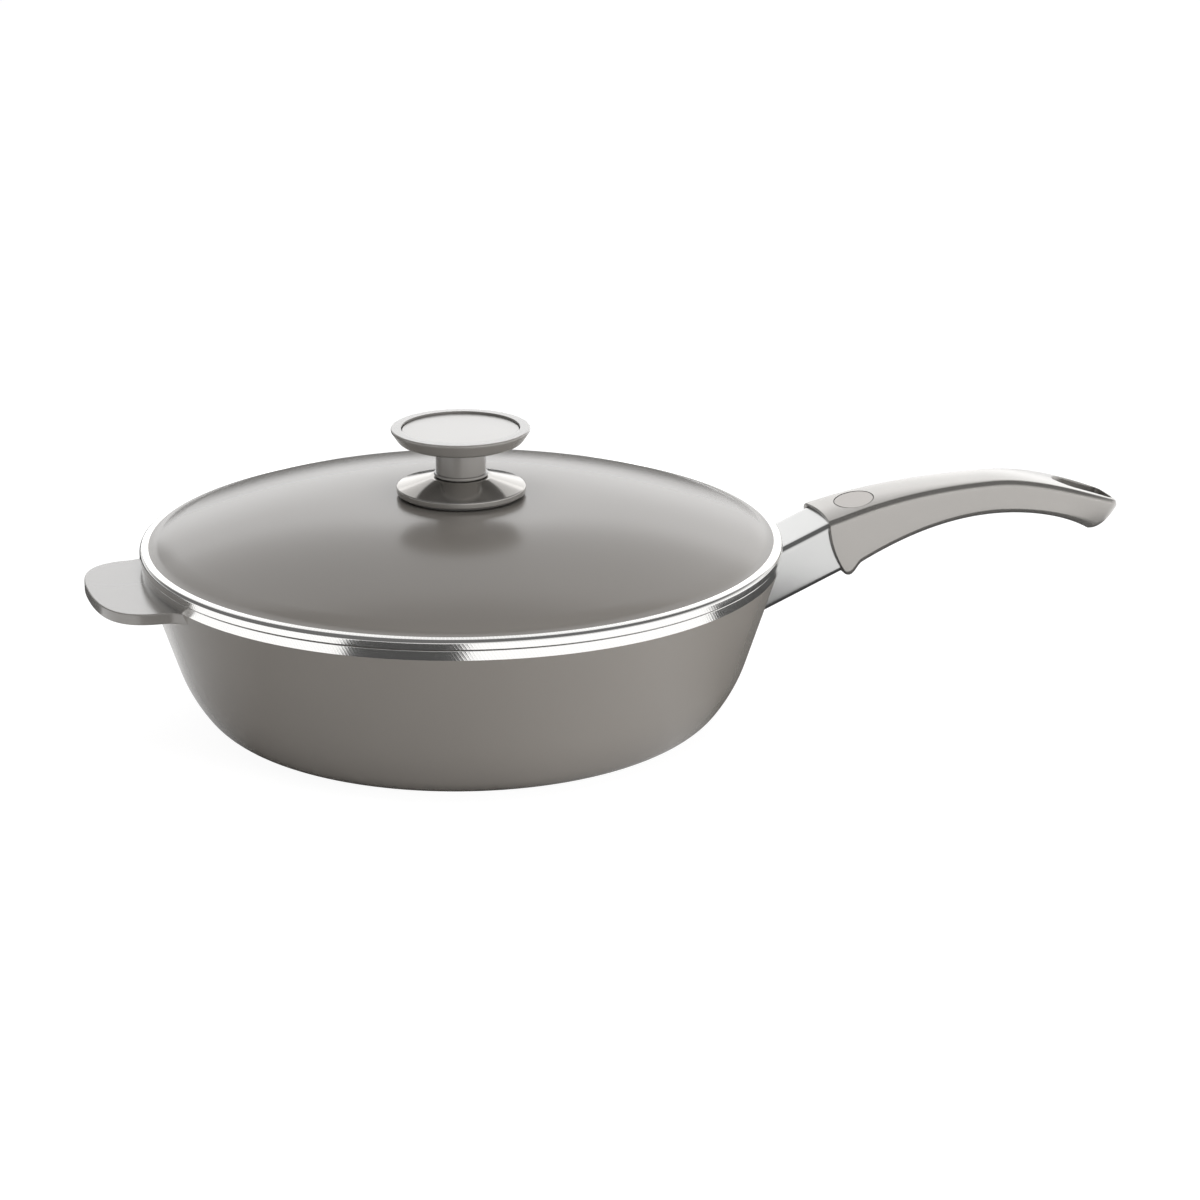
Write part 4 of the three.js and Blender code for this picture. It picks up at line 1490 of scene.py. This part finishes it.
    def oval(self, name: str, grow: float, thick: float, above: float) -> bpy.types.Object:
        """Makes the badge, or the tool that cuts its seat.

        Args:
            name: The object's name.
            grow: What is added to its two widths.
            thick: How far it reaches into the grip.
            above: How far it reaches above the badge's face.

        Returns:
            An oval plate that follows the grip's back.
        """
        stretch, share = self.badge_spot()
        middle = bezier(self.back[stretch], share)
        ahead = bezier(self.back[stretch], share + self.badge_ahead)
        slope = math.atan2(ahead.y - middle.y, ahead.x - middle.x)
        half = bezier(self.half[stretch], share).y
        along, across = (self.badge_along + grow) / 2, (self.badge_across + grow) / 2
        turns = [FULL_TURN * i / KNOB_TURN for i in range(KNOB_TURN)]
        outline = [Vector((along * math.cos(a), across * math.sin(a), 0)) for a in turns]
        work = Workpiece(name)
        edges = work.plate(outline, thick + above)
        if not above:
            top = [e for e in edges if e.verts[0].co.z > thick / 2]
            work.round_off(top, self.badge_edge, "EDGES")
        for vert in work.mesh.verts:
            vert.co.z -= thick + self.badge_sunk + self.crown * (vert.co.y / half) ** 2
        work.move(Matrix.Translation((middle.x, 0, middle.y)) @ Matrix.Rotation(-slope, 4, "Y"))
        return work.finish(BADGE.material() if not above else GRIP.material())

    def screw_hole(self) -> bpy.types.Object:
        """Makes the tool that bores the hole for the screw's head from below.

        Returns:
            The tool, closed.
        """
        handle = self.handle
        seat = -handle.tongue_height / 2 - GAP - self.screw_seat
        work = Workpiece("screw_hole")
        work.strip([
            Corner(0, -handle.guard_height),
            Corner(self.hole_radius, -handle.guard_height),
            Corner(self.hole_radius, seat),
            Corner(self.shank_hole, seat),
            Corner(self.shank_hole, 0),
            Corner(0, 0),
        ], turn=SMALL_TURN)
        work.move(handle.matrix @ Matrix.Translation((handle.screw_from_mouth, 0, 0)))
        return work.finish(GRIP.material())


@dataclass
class Screw:
    """A pan-head screw with a cross recess, its washer under the head, along Z with the head below."""

    radius: float
    head_radius: float
    head: float
    shoulder: float
    end: float
    washer_radius: float
    washer_thick: float = 1.0
    recess_width: float = 1.1
    recess_span: float = 4.6
    recess_depth: float = 1.6
    recess_taper: float = 0.45
    recess_narrow: float = 0.78
    recess_clear: float = 1.0
    head_inset: float = 0.5
    head_edge: float = 0.4
    head_side: float = 0.55
    head_round: float = 0.6
    point_round: float = 0.5
    edge: float = 0.2
    washer_edge: float = 0.15
    washer_round: float = 0.25

    def shank(self, name: str) -> bpy.types.Object:
        """Spins the screw and cuts its cross recess.

        Args:
            name: The object's name.

        Returns:
            The screw.
        """
        low = self.shoulder - self.head
        made = turned(name, STEEL, [
            Corner(0, low),
            Corner(self.head_radius - self.head_inset, low, self.head_edge),
            Corner(self.head_radius, low + self.head * self.head_side, self.head_round),
            Corner(self.head_radius, self.shoulder, self.edge),
            Corner(self.radius, self.shoulder, self.edge),
            Corner(self.radius, self.end, self.point_round),
            Corner(0, self.end),
        ], SMALL_TURN)
        for turn in (0.0, UP):
            combine(made, self.recess(turn), Join.CUT)
        return made

    def recess(self, turn: float) -> bpy.types.Object:
        """Makes one arm of the tool that cuts the cross recess.

        Args:
            turn: The arm's turn about the screw.

        Returns:
            A tapered bar.
        """
        low = self.shoulder - self.head
        work = Workpiece("recess")
        bmesh.ops.create_cube(work.mesh, size=1.0)
        for vert in work.mesh.verts:
            deep = vert.co.z > 0
            span = self.recess_span * (self.recess_taper if deep else 1.0)
            width = self.recess_width * (self.recess_narrow if deep else 1.0)
            level = low + (self.recess_depth if deep else -self.recess_clear)
            vert.co = Vector((vert.co.x * span, vert.co.y * width, level))
        work.move(Matrix.Rotation(turn, 4, "Z"))
        return work.finish(STEEL.material())

    def washer(self, name: str) -> bpy.types.Object:
        """Spins the washer.

        Args:
            name: The object's name.

        Returns:
            The washer.
        """
        low = self.shoulder + GAP
        high = low + self.washer_thick
        bore = self.radius + GAP
        return turned(name, STEEL, [
            Corner(bore, low, self.washer_edge),
            Corner(self.washer_radius, low, self.washer_round),
            Corner(self.washer_radius, high, self.washer_edge),
            Corner(bore, high, self.washer_edge),
        ], SMALL_TURN, closed=True)


@dataclass
class GripScrew:
    """The screw from under the grip into the stub, with its washer."""

    handle: Handle
    screw: Screw

    def build(self) -> None:
        """Makes the screw and washer in the handle's frame."""
        made = (
            (self.screw.shank("grip_screw_cross"), "grip_screw"),
            (self.screw.washer("grip_screw_washer_ring"), "grip_screw_washer"),
        )
        seat = self.handle.matrix @ Matrix.Translation((self.handle.screw_from_mouth, 0, 0))
        seat.translation = seat.translation * MM
        for piece, node in made:
            piece.data.transform(seat)
            place(piece, Body.PAN, Slot.SCREW_STEEL, node)


@dataclass
class Lid:
    """The domed lid: skirt, turned edge and bevel, flange, shoulder and a shallow dome with a flat seat."""

    side: PanSide
    edge: float = 3.5
    edge_rise: float = 0.8
    edge_round: float = 1.6
    edge_land: float = 0.6
    under_round: float = 0.4
    bevel_width: float = 3.9
    bevel_rise: float = 1.1
    coat_edge: float = 0.3
    flange: float = 2.8
    flange_rise: float = 1.6
    flange_fillet: float = 1.6
    shoulder_rise: float = 3.8
    shoulder_width: float = 4.6
    shoulder_round: float = 3.2
    thick: float = 3.4
    rise: float = 21.2
    skirt_depth: float = 5.0
    skirt_thick: float = 3.0
    skirt_play: float = 1.2
    skirt_round: float = 0.8
    seat: float = 30.2
    boss_radius: float = 12.0
    boss_depth: float = 2.5
    boss_round: float = 0.8
    bore: float = 2.9
    bore_edge: float = 0.3
    dome_steps: int = 28
    inner_steps: int = 20

    def build(self) -> None:
        """Spins the lid."""
        side = self.side
        line = side.height + GAP + self.edge
        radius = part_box("lid_shell")[1].x / MM
        skirt = side.mouth - (self.skirt_depth + GAP) * side.slope - self.skirt_play
        skirt_inner = skirt - self.skirt_thick
        bevel = radius - self.bevel_width
        flange = bevel - self.flange
        shoulder = flange - self.shoulder_width
        run, drop = shoulder - self.seat, self.rise - self.shoulder_rise
        dome = (run ** 2 + drop ** 2) / (2 * drop)
        centre = (self.seat, line + self.rise - dome)
        inner = dome - self.thick
        under = line - self.edge
        top = line + self.rise
        boss = top - self.thick - self.boss_depth
        land = Corner(radius - self.edge_land, under)
        bevel_top = line + self.bevel_rise
        work = Workpiece("lid_shell_cast")
        work.strip([
            Corner(bevel, bevel_top, self.coat_edge),
            Corner(flange, line + self.flange_rise, self.flange_fillet),
            Corner(shoulder, line + self.shoulder_rise, self.shoulder_round),
            *arc(centre, dome, math.acos(run / dome), UP, self.dome_steps)[1:],
            Corner(self.bore, top),
            Corner(self.bore, boss, self.bore_edge),
            Corner(self.boss_radius, boss, self.boss_round),
            Corner(self.boss_radius + self.boss_depth / 2, top - self.thick),
            *arc(centre, inner, UP, math.acos((skirt_inner - self.seat) / inner), self.inner_steps),
            Corner(skirt_inner, under - self.skirt_depth, self.skirt_round),
            Corner(skirt, under - self.skirt_depth, self.skirt_round),
            Corner(skirt, under),
            land,
        ], 0, LID_TURN)
        work.strip([
            land,
            Corner(radius, under, self.under_round),
            Corner(radius, line + self.edge_rise, self.edge_round),
            Corner(bevel, bevel_top),
        ], 1, LID_TURN)
        place(work.finish(PAINT.material(), BAND.material()), Body.LID, Slot.LID_COAT, "lid_shell")


@dataclass
class Knob:
    """The knob: gasket, flared foot, stem with its cap, inlay and the fastening inside."""

    bore: float
    lid_top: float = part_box("lid_shell")[1].z / MM
    top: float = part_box("knob_body")[1].z / MM
    gasket_radius: float = 27.2
    gasket_thick: float = 0.8
    gasket_edge: float = 0.2
    foot_radius: float = 29.2
    foot_lip: float = 3.2
    foot_edge: float = 0.6
    foot_height: float = 7.5
    foot_land: float = 1.2
    spigot_step: float = 2.5
    spigot_length: float = 5.0
    spigot_edge: float = 0.4
    stem_radius: float = 11.4
    stem_flare: float = 2.0
    bead_lip: float = 0.9
    bead_height: float = 1.6
    bead_round: float = 0.7
    cap_radius: float = 31.4
    cap_taper: float = 4.2
    cap_depth: float = 7.2
    cap_dish: float = 0.4
    cap_round: float = 2.4
    cap_edge: float = 0.5
    cap_rim: float = 5.0
    inlay_thick: float = 1.1
    inlay_sunk: float = 1.0
    inlay_edge: float = 0.35
    seat_edge: float = 0.25
    insert_radius: float = 4.5
    insert_length: float = 13.0
    insert_bore: float = 2.6
    insert_groove: float = 0.5
    insert_edge: float = 0.2
    insert_round: float = 0.3

    def __post_init__(self) -> None:
        """Works out the heights of the stack."""
        self.foot_bottom = self.lid_top + self.gasket_thick + 2 * GAP
        self.foot_top = self.foot_bottom + self.foot_height
        self.stem_foot = self.foot_top + GAP
        self.spigot_end = self.stem_foot - self.spigot_length
        self.bead_radius = self.stem_radius + self.bead_lip
        self.stem_top = self.top - self.cap_depth
        self.inlay_radius = self.cap_radius - self.cap_rim
        self.insert_top = self.spigot_end + GAP + self.insert_length

    def build(self, screw: Screw) -> None:
        """Makes the knob's pieces from the lid upwards.

        Args:
            screw: The screw from inside the lid.
        """
        place(self.gasket(), Body.LID, Slot.GASKET_RUBBER, "knob_gasket")
        place(self.foot(), Body.LID, Slot.KNOB_FOOT, "knob_base")
        place(self.stem(), Body.LID, Slot.KNOB_PLASTIC, "knob_body")
        place(self.inlay(), Body.LID, Slot.INLAY_PLATE, "knob_inlay")
        place(self.insert(), Body.LID, Slot.INSERT_BRASS, "knob_insert")
        place(screw.shank("knob_screw_cross"), Body.LID, Slot.SCREW_STEEL, "knob_screw")
        place(screw.washer("knob_washer_ring"), Body.LID, Slot.SCREW_STEEL, "knob_washer")

    def gasket(self) -> bpy.types.Object:
        """Spins the seal under the foot.

        Returns:
            The seal.
        """
        low = self.lid_top + GAP
        return turned("knob_gasket_ring", SILICONE, [
            Corner(self.bore, low),
            Corner(self.gasket_radius, low, self.gasket_edge),
            Corner(self.gasket_radius, low + self.gasket_thick, self.gasket_edge),
            Corner(self.bore, low + self.gasket_thick),
        ], closed=True)

    def foot(self) -> bpy.types.Object:
        """Spins the foot: a thick lip, a low cone and a narrow land round the stem.

        Returns:
            The foot.
        """
        spigot = self.stem_radius - self.spigot_step + GAP
        return turned("knob_foot_gloss", FOOT, [
            Corner(self.bore, self.foot_bottom),
            Corner(self.foot_radius, self.foot_bottom, self.foot_edge),
            Corner(self.foot_radius, self.foot_bottom + self.foot_lip - self.foot_edge / 2, self.foot_edge),
            Corner(self.bead_radius + self.foot_land, self.foot_top, self.foot_edge),
            Corner(spigot, self.foot_top),
            Corner(spigot, self.spigot_end - GAP),
            Corner(self.bore, self.spigot_end - GAP),
        ], closed=True)

    def stem(self) -> bpy.types.Object:
        """Spins the stem on its spigot, with a bead at its foot, and the cap that it flares into.

        Returns:
            The stem with its cap.
        """
        spigot = self.stem_radius - self.spigot_step
        bore = self.insert_radius + GAP
        seat = self.inlay_radius + GAP
        floor = self.top - self.inlay_sunk - self.inlay_thick - GAP
        neck = self.stem_top - self.cap_dish
        bead_top = self.stem_foot + self.bead_height
        return turned("knob_stem_and_cap", KNOB, [
            Corner(0, self.insert_top + GAP),
            Corner(bore, self.insert_top + GAP),
            Corner(bore, self.spigot_end),
            Corner(spigot, self.spigot_end, self.spigot_edge),
            Corner(spigot, self.stem_foot),
            Corner(self.bead_radius, self.stem_foot, self.bead_round),
            Corner(self.bead_radius, bead_top, self.bead_round),
            Corner(self.stem_radius, bead_top),
            Corner(self.stem_radius, neck, self.stem_flare),
            Corner(self.cap_radius - self.cap_taper, self.stem_top, self.cap_round),
            Corner(self.cap_radius, self.top - 2 * self.cap_edge, self.cap_edge),
            Corner(self.cap_radius - self.cap_edge / 2, self.top, self.cap_edge),
            Corner(seat, self.top, self.seat_edge),
            Corner(seat, floor),
            Corner(0, floor),
        ])

    def inlay(self) -> bpy.types.Object:
        """Spins the flat plate in the cap.

        Returns:
            The plate.
        """
        high = self.top - self.inlay_sunk
        return turned("knob_inlay_plate", PLATE, [
            Corner(0, high - self.inlay_thick),
            Corner(self.inlay_radius, high - self.inlay_thick),
            Corner(self.inlay_radius, high, self.inlay_edge),
            Corner(0, high),
        ])

    def insert(self) -> bpy.types.Object:
        """Spins the brass insert in the stem, with the groove round its middle.

        Returns:
            The insert.
        """
        low = self.insert_top - self.insert_length
        third = self.insert_length / 3
        neck = self.insert_radius - self.insert_groove
        return turned("knob_insert_brass", BRASS, [
            Corner(self.insert_bore, low, self.insert_edge),
            Corner(self.insert_radius, low, self.insert_round),
            Corner(self.insert_radius, low + third, self.insert_edge),
            Corner(neck, low + third, self.insert_edge),
            Corner(neck, low + 2 * third, self.insert_edge),
            Corner(self.insert_radius, low + 2 * third, self.insert_edge),
            Corner(self.insert_radius, self.insert_top, self.insert_round),
            Corner(self.insert_bore, self.insert_top, self.insert_edge),
        ], SMALL_TURN, closed=True)


# Studio


@dataclass(frozen=True)
class Softbox:
    """A soft light panel that looks at the pan: place and sizes in metres, its power in watts, and whether
    it shows in reflections.
    """

    name: str
    spot: tuple[float, float, float]
    width: float
    height: float
    power: float
    mirrored: bool = False
    aim: tuple[float, float, float] = (0.05, 0.0, 0.07)

    def build(self) -> None:
        """Hangs the panel and turns it to the pan."""
        lamp = bpy.data.lights.new(self.name, "AREA")
        lamp.shape = "RECTANGLE"
        lamp.size, lamp.size_y = self.width, self.height
        lamp.energy = self.power
        hung = stand(self.name, lamp)
        hung.location = self.spot
        look = Vector(self.aim) - Vector(self.spot)
        hung.rotation_euler = look.to_track_quat("-Z", "Y").to_euler()
        hung.visible_camera = False
        hung.visible_glossy = self.mirrored


@dataclass(frozen=True)
class PaintedReflectionCard:
    """A dark card on the floor that only reflections show, a painted dark reflection: a sector round the pan:
    where it starts and ends in degrees, its near and far edges in metres, and how dark it is at its start and
    end.
    """

    start: float
    end: float
    near: float
    far: float
    dark: tuple[float, float] = (1.0, 1.0)
    steps: int = 24

    def lay(self, work: bmesh.types.BMesh, layer: bmesh.types.BMLayerItem) -> None:
        """Adds the card to a mesh.

        Args:
            work: The mesh of all the cards.
            layer: The vertices' own darkness.
        """
        sweep = math.radians(self.end - self.start) / self.steps
        turn = Matrix.Rotation(math.radians(self.start), 3, "Z")
        rim = [work.verts.new(turn @ Vector((reach, 0, 0))) for reach in (self.near, self.far)]
        geometry = [*rim, work.edges.new(rim)]
        for i in range(self.steps + 1):
            for corner in geometry:
                if isinstance(corner, bmesh.types.BMVert):
                    corner[layer] = self.dark[0] + (self.dark[1] - self.dark[0]) * i / self.steps
            if i < self.steps:
                geometry = bmesh.ops.spin(
                    work, geom=geometry, cent=(0, 0, 0), axis=(0, 0, 1), dvec=(0, 0, 0),
                    angle=sweep, steps=1, use_merge=False,
                )["geom_last"]


def set_down(work: bmesh.types.BMesh, name: str, finish: str, level: float) -> tuple[bpy.types.Object, Graph]:
    """Makes a piece of the studio from a flat mesh.

    Args:
        work: The mesh, which is used up.
        name: The piece's name.
        finish: Its material's name.
        level: The height that it lies at.

    Returns:
        The piece, and its material's empty graph.
    """
    bmesh.ops.translate(work, vec=(0, 0, level), verts=work.verts[:])
    data = bpy.data.meshes.new(name)
    work.to_mesh(data)
    work.free()
    material = bpy.data.materials.new(finish)
    material.use_nodes = True
    data.materials.append(material)
    return stand(name, data), Graph(material.node_tree)


@dataclass
class Studio:
    """The floor, the room's light, the panels, the dark cards that paint dark reflections, and the camera."""

    floor_radius: float = 9.0
    floor_level: float = -0.0003
    floor_white: float = 0.92
    floor_share: float = 0.22
    floor_glow: float = 0.93
    horizon: float = 1.0
    waist: float = 0.14
    zenith: float = 0.16
    ramp: tuple[float, float, float] = (0.1, 0.62, 1.0)
    front_lift: float = 0.15
    left_dim: float = 0.55
    left_facing: float = math.radians(185)
    card_level: float = 0.0005
    # grey level of the dark cards, which paint dark reflections only
    painted_reflection_tone: float = 0.09
    camera_spot: tuple[float, float, float] = (-0.4255, -1.5481, 0.5828)
    camera_pitch: float = math.radians(71.72)
    camera_yaw: float = math.radians(-17.6)
    camera_lens: float = 111.37
    camera_sensor: float = 36.0

    def build(self) -> None:
        """Sets up everything round the pan."""
        bpy.context.scene.view_settings.view_transform = "Standard"
        self.floor()
        self.room()
        self.cards()
        for panel in PANELS:
            panel.build()
        self.camera()

    def floor(self) -> None:
        """Lays the pale floor, white to the eye but for the pan's faint shadow."""
        work = bmesh.new()
        bmesh.ops.create_circle(work, cap_ends=True, radius=self.floor_radius, segments=WIDE_TURN)
        laid, graph = set_down(work, "floor", "pale_floor", self.floor_level)
        ray = graph.add("ShaderNodeLightPath").outputs
        mirrored = graph.math("MAXIMUM", ray["Is Glossy Ray"], ray["Is Transmission Ray"])
        seen = graph.math("MAXIMUM", ray["Is Camera Ray"], mirrored)
        parts = {0: graph.grey(self.floor_share), 1: graph.glow(self.floor_glow)}
        bright = graph.add("ShaderNodeAddShader", parts).outputs[0]
        mix = {0: seen, 1: graph.grey(self.floor_white), 2: bright}
        graph.add("ShaderNodeOutputMaterial", {"Surface": graph.add("ShaderNodeMixShader", mix).outputs[0]})

    def room(self) -> None:
        """Lights the room: white low down, higher up behind the camera, and darker above and on the left."""
        world = bpy.data.worlds.new("room")
        world.use_nodes = True
        bpy.context.scene.world = world
        graph = Graph(world.node_tree)
        facing = graph.add("ShaderNodeTexCoord").outputs["Generated"]
        height = graph.add("ShaderNodeSeparateXYZ", {0: facing}).outputs["Z"]
        behind = Vector((self.camera_spot[0], self.camera_spot[1], 0)).normalized()
        left = (math.cos(self.left_facing), math.sin(self.left_facing), 0)
        lift = graph.toward(facing, behind, self.front_lift)
        dim = graph.toward(facing, left, self.left_dim)
        level = graph.math("SUBTRACT", graph.math("ADD", height, dim), lift)
        ramp = graph.add("ShaderNodeValToRGB", {0: level})
        stops = ramp.color_ramp.elements
        stops.new(self.ramp[1])
        for stop, position, tone in zip(stops, self.ramp, (self.horizon, self.waist, self.zenith)):
            stop.position = position
            stop.color = shade(WHITE, tone)
        ramp.color_ramp.interpolation = "EASE"
        lit = graph.add("ShaderNodeBackground", {"Color": ramp.outputs[0], "Strength": 1.0})
        graph.add("ShaderNodeOutputWorld", {"Surface": lit.outputs[0]})

    def cards(self) -> None:
        """Lays the dark cards on the floor, which only reflections show: painted dark reflections under and
        round the pan.
        """
        work = bmesh.new()
        layer = work.verts.layers.float.new("dark")
        for card in PAINTED_REFLECTIONS:
            card.lay(work, layer)
        laid, graph = set_down(work, "painted_dark_reflections", "painted_dark_reflections", self.card_level)
        share = graph.add("ShaderNodeAttribute", attribute_name="dark").outputs["Fac"]
        mix = {0: share, 1: graph.glow(self.floor_glow), 2: graph.grey(self.painted_reflection_tone)}
        graph.add("ShaderNodeOutputMaterial", {"Surface": graph.add("ShaderNodeMixShader", mix).outputs[0]})
        # seen only by glossy rays, so the cards paint dark reflections and nothing else
        laid.visible_camera = False
        laid.visible_diffuse = False
        laid.visible_shadow = False
        laid.visible_transmission = False

    def camera(self) -> None:
        """Stands the camera at the photograph's angle."""
        data = bpy.data.cameras.new("camera")
        data.lens = self.camera_lens
        data.sensor_width = self.camera_sensor
        stood = stand("camera", data)
        stood.location = self.camera_spot
        stood.rotation_euler = (self.camera_pitch, 0, self.camera_yaw)
        bpy.context.scene.camera = stood


PANELS = (
    Softbox("back_low", (0.68, 1.54, 0.51), 1.96, 0.7, 3.45, mirrored=True),
    Softbox("back_high", (0.39, 1.4, 1.2), 2.2, 1.05, 5.2, mirrored=True),
    Softbox("front_right", (0.95, -0.95, 0.13), 0.8, 0.24, 13.4),
    Softbox("front_left", (-1.1, -0.8, 0.13), 0.8, 0.24, 6.0),
    Softbox("overhead", (0.0, -0.1, 1.6), 1.6, 1.6, 17.0),
)
UNDER_WALL = (0.08, 0.26)
PAST_PAN = UNDER_WALL[1]
# painted dark reflections: sectors of dark card on the floor that only glossy rays see
PAINTED_REFLECTIONS = (
    PaintedReflectionCard(150.0, 200.0, *UNDER_WALL, (0.0, 1.0)),
    PaintedReflectionCard(200.0, 262.0, *UNDER_WALL),
    PaintedReflectionCard(262.0, 310.0, *UNDER_WALL, (1.0, 0.5)),
    PaintedReflectionCard(310.0, 335.0, *UNDER_WALL, (0.5, 1.0)),
    PaintedReflectionCard(335.0, 420.0, *UNDER_WALL),
    PaintedReflectionCard(221.0, 255.0, PAST_PAN, 2.5),
    PaintedReflectionCard(335.0, 420.0, PAST_PAN, 0.4),
    PaintedReflectionCard(420.0, 512.0, PAST_PAN, 6.0),
)
GRIP_SCREW = Screw(radius=2.2, head_radius=4.2, head=2.4, shoulder=-8.5, end=3.3, washer_radius=4.8)
KNOB_SCREW = Screw(
    radius=2.3, head_radius=4.8, head=3.3, shoulder=95.7, end=118.7, washer_radius=7.0, recess_span=5.4,
)


def main() -> None:
    """Builds the studio and the pan."""
    logging.basicConfig(level=logging.INFO, format="%(name)s: %(message)s")
    Studio().build()
    side = PanSide()
    handle = Handle(side)
    PanBody(side, handle).build()
    FlameGuard(handle).build()
    Grip(handle).build()
    GripScrew(handle, GRIP_SCREW).build()
    lid = Lid(side)
    lid.build()
    Knob(lid.bore).build(KNOB_SCREW)


if __name__ == "__main__":
    main()
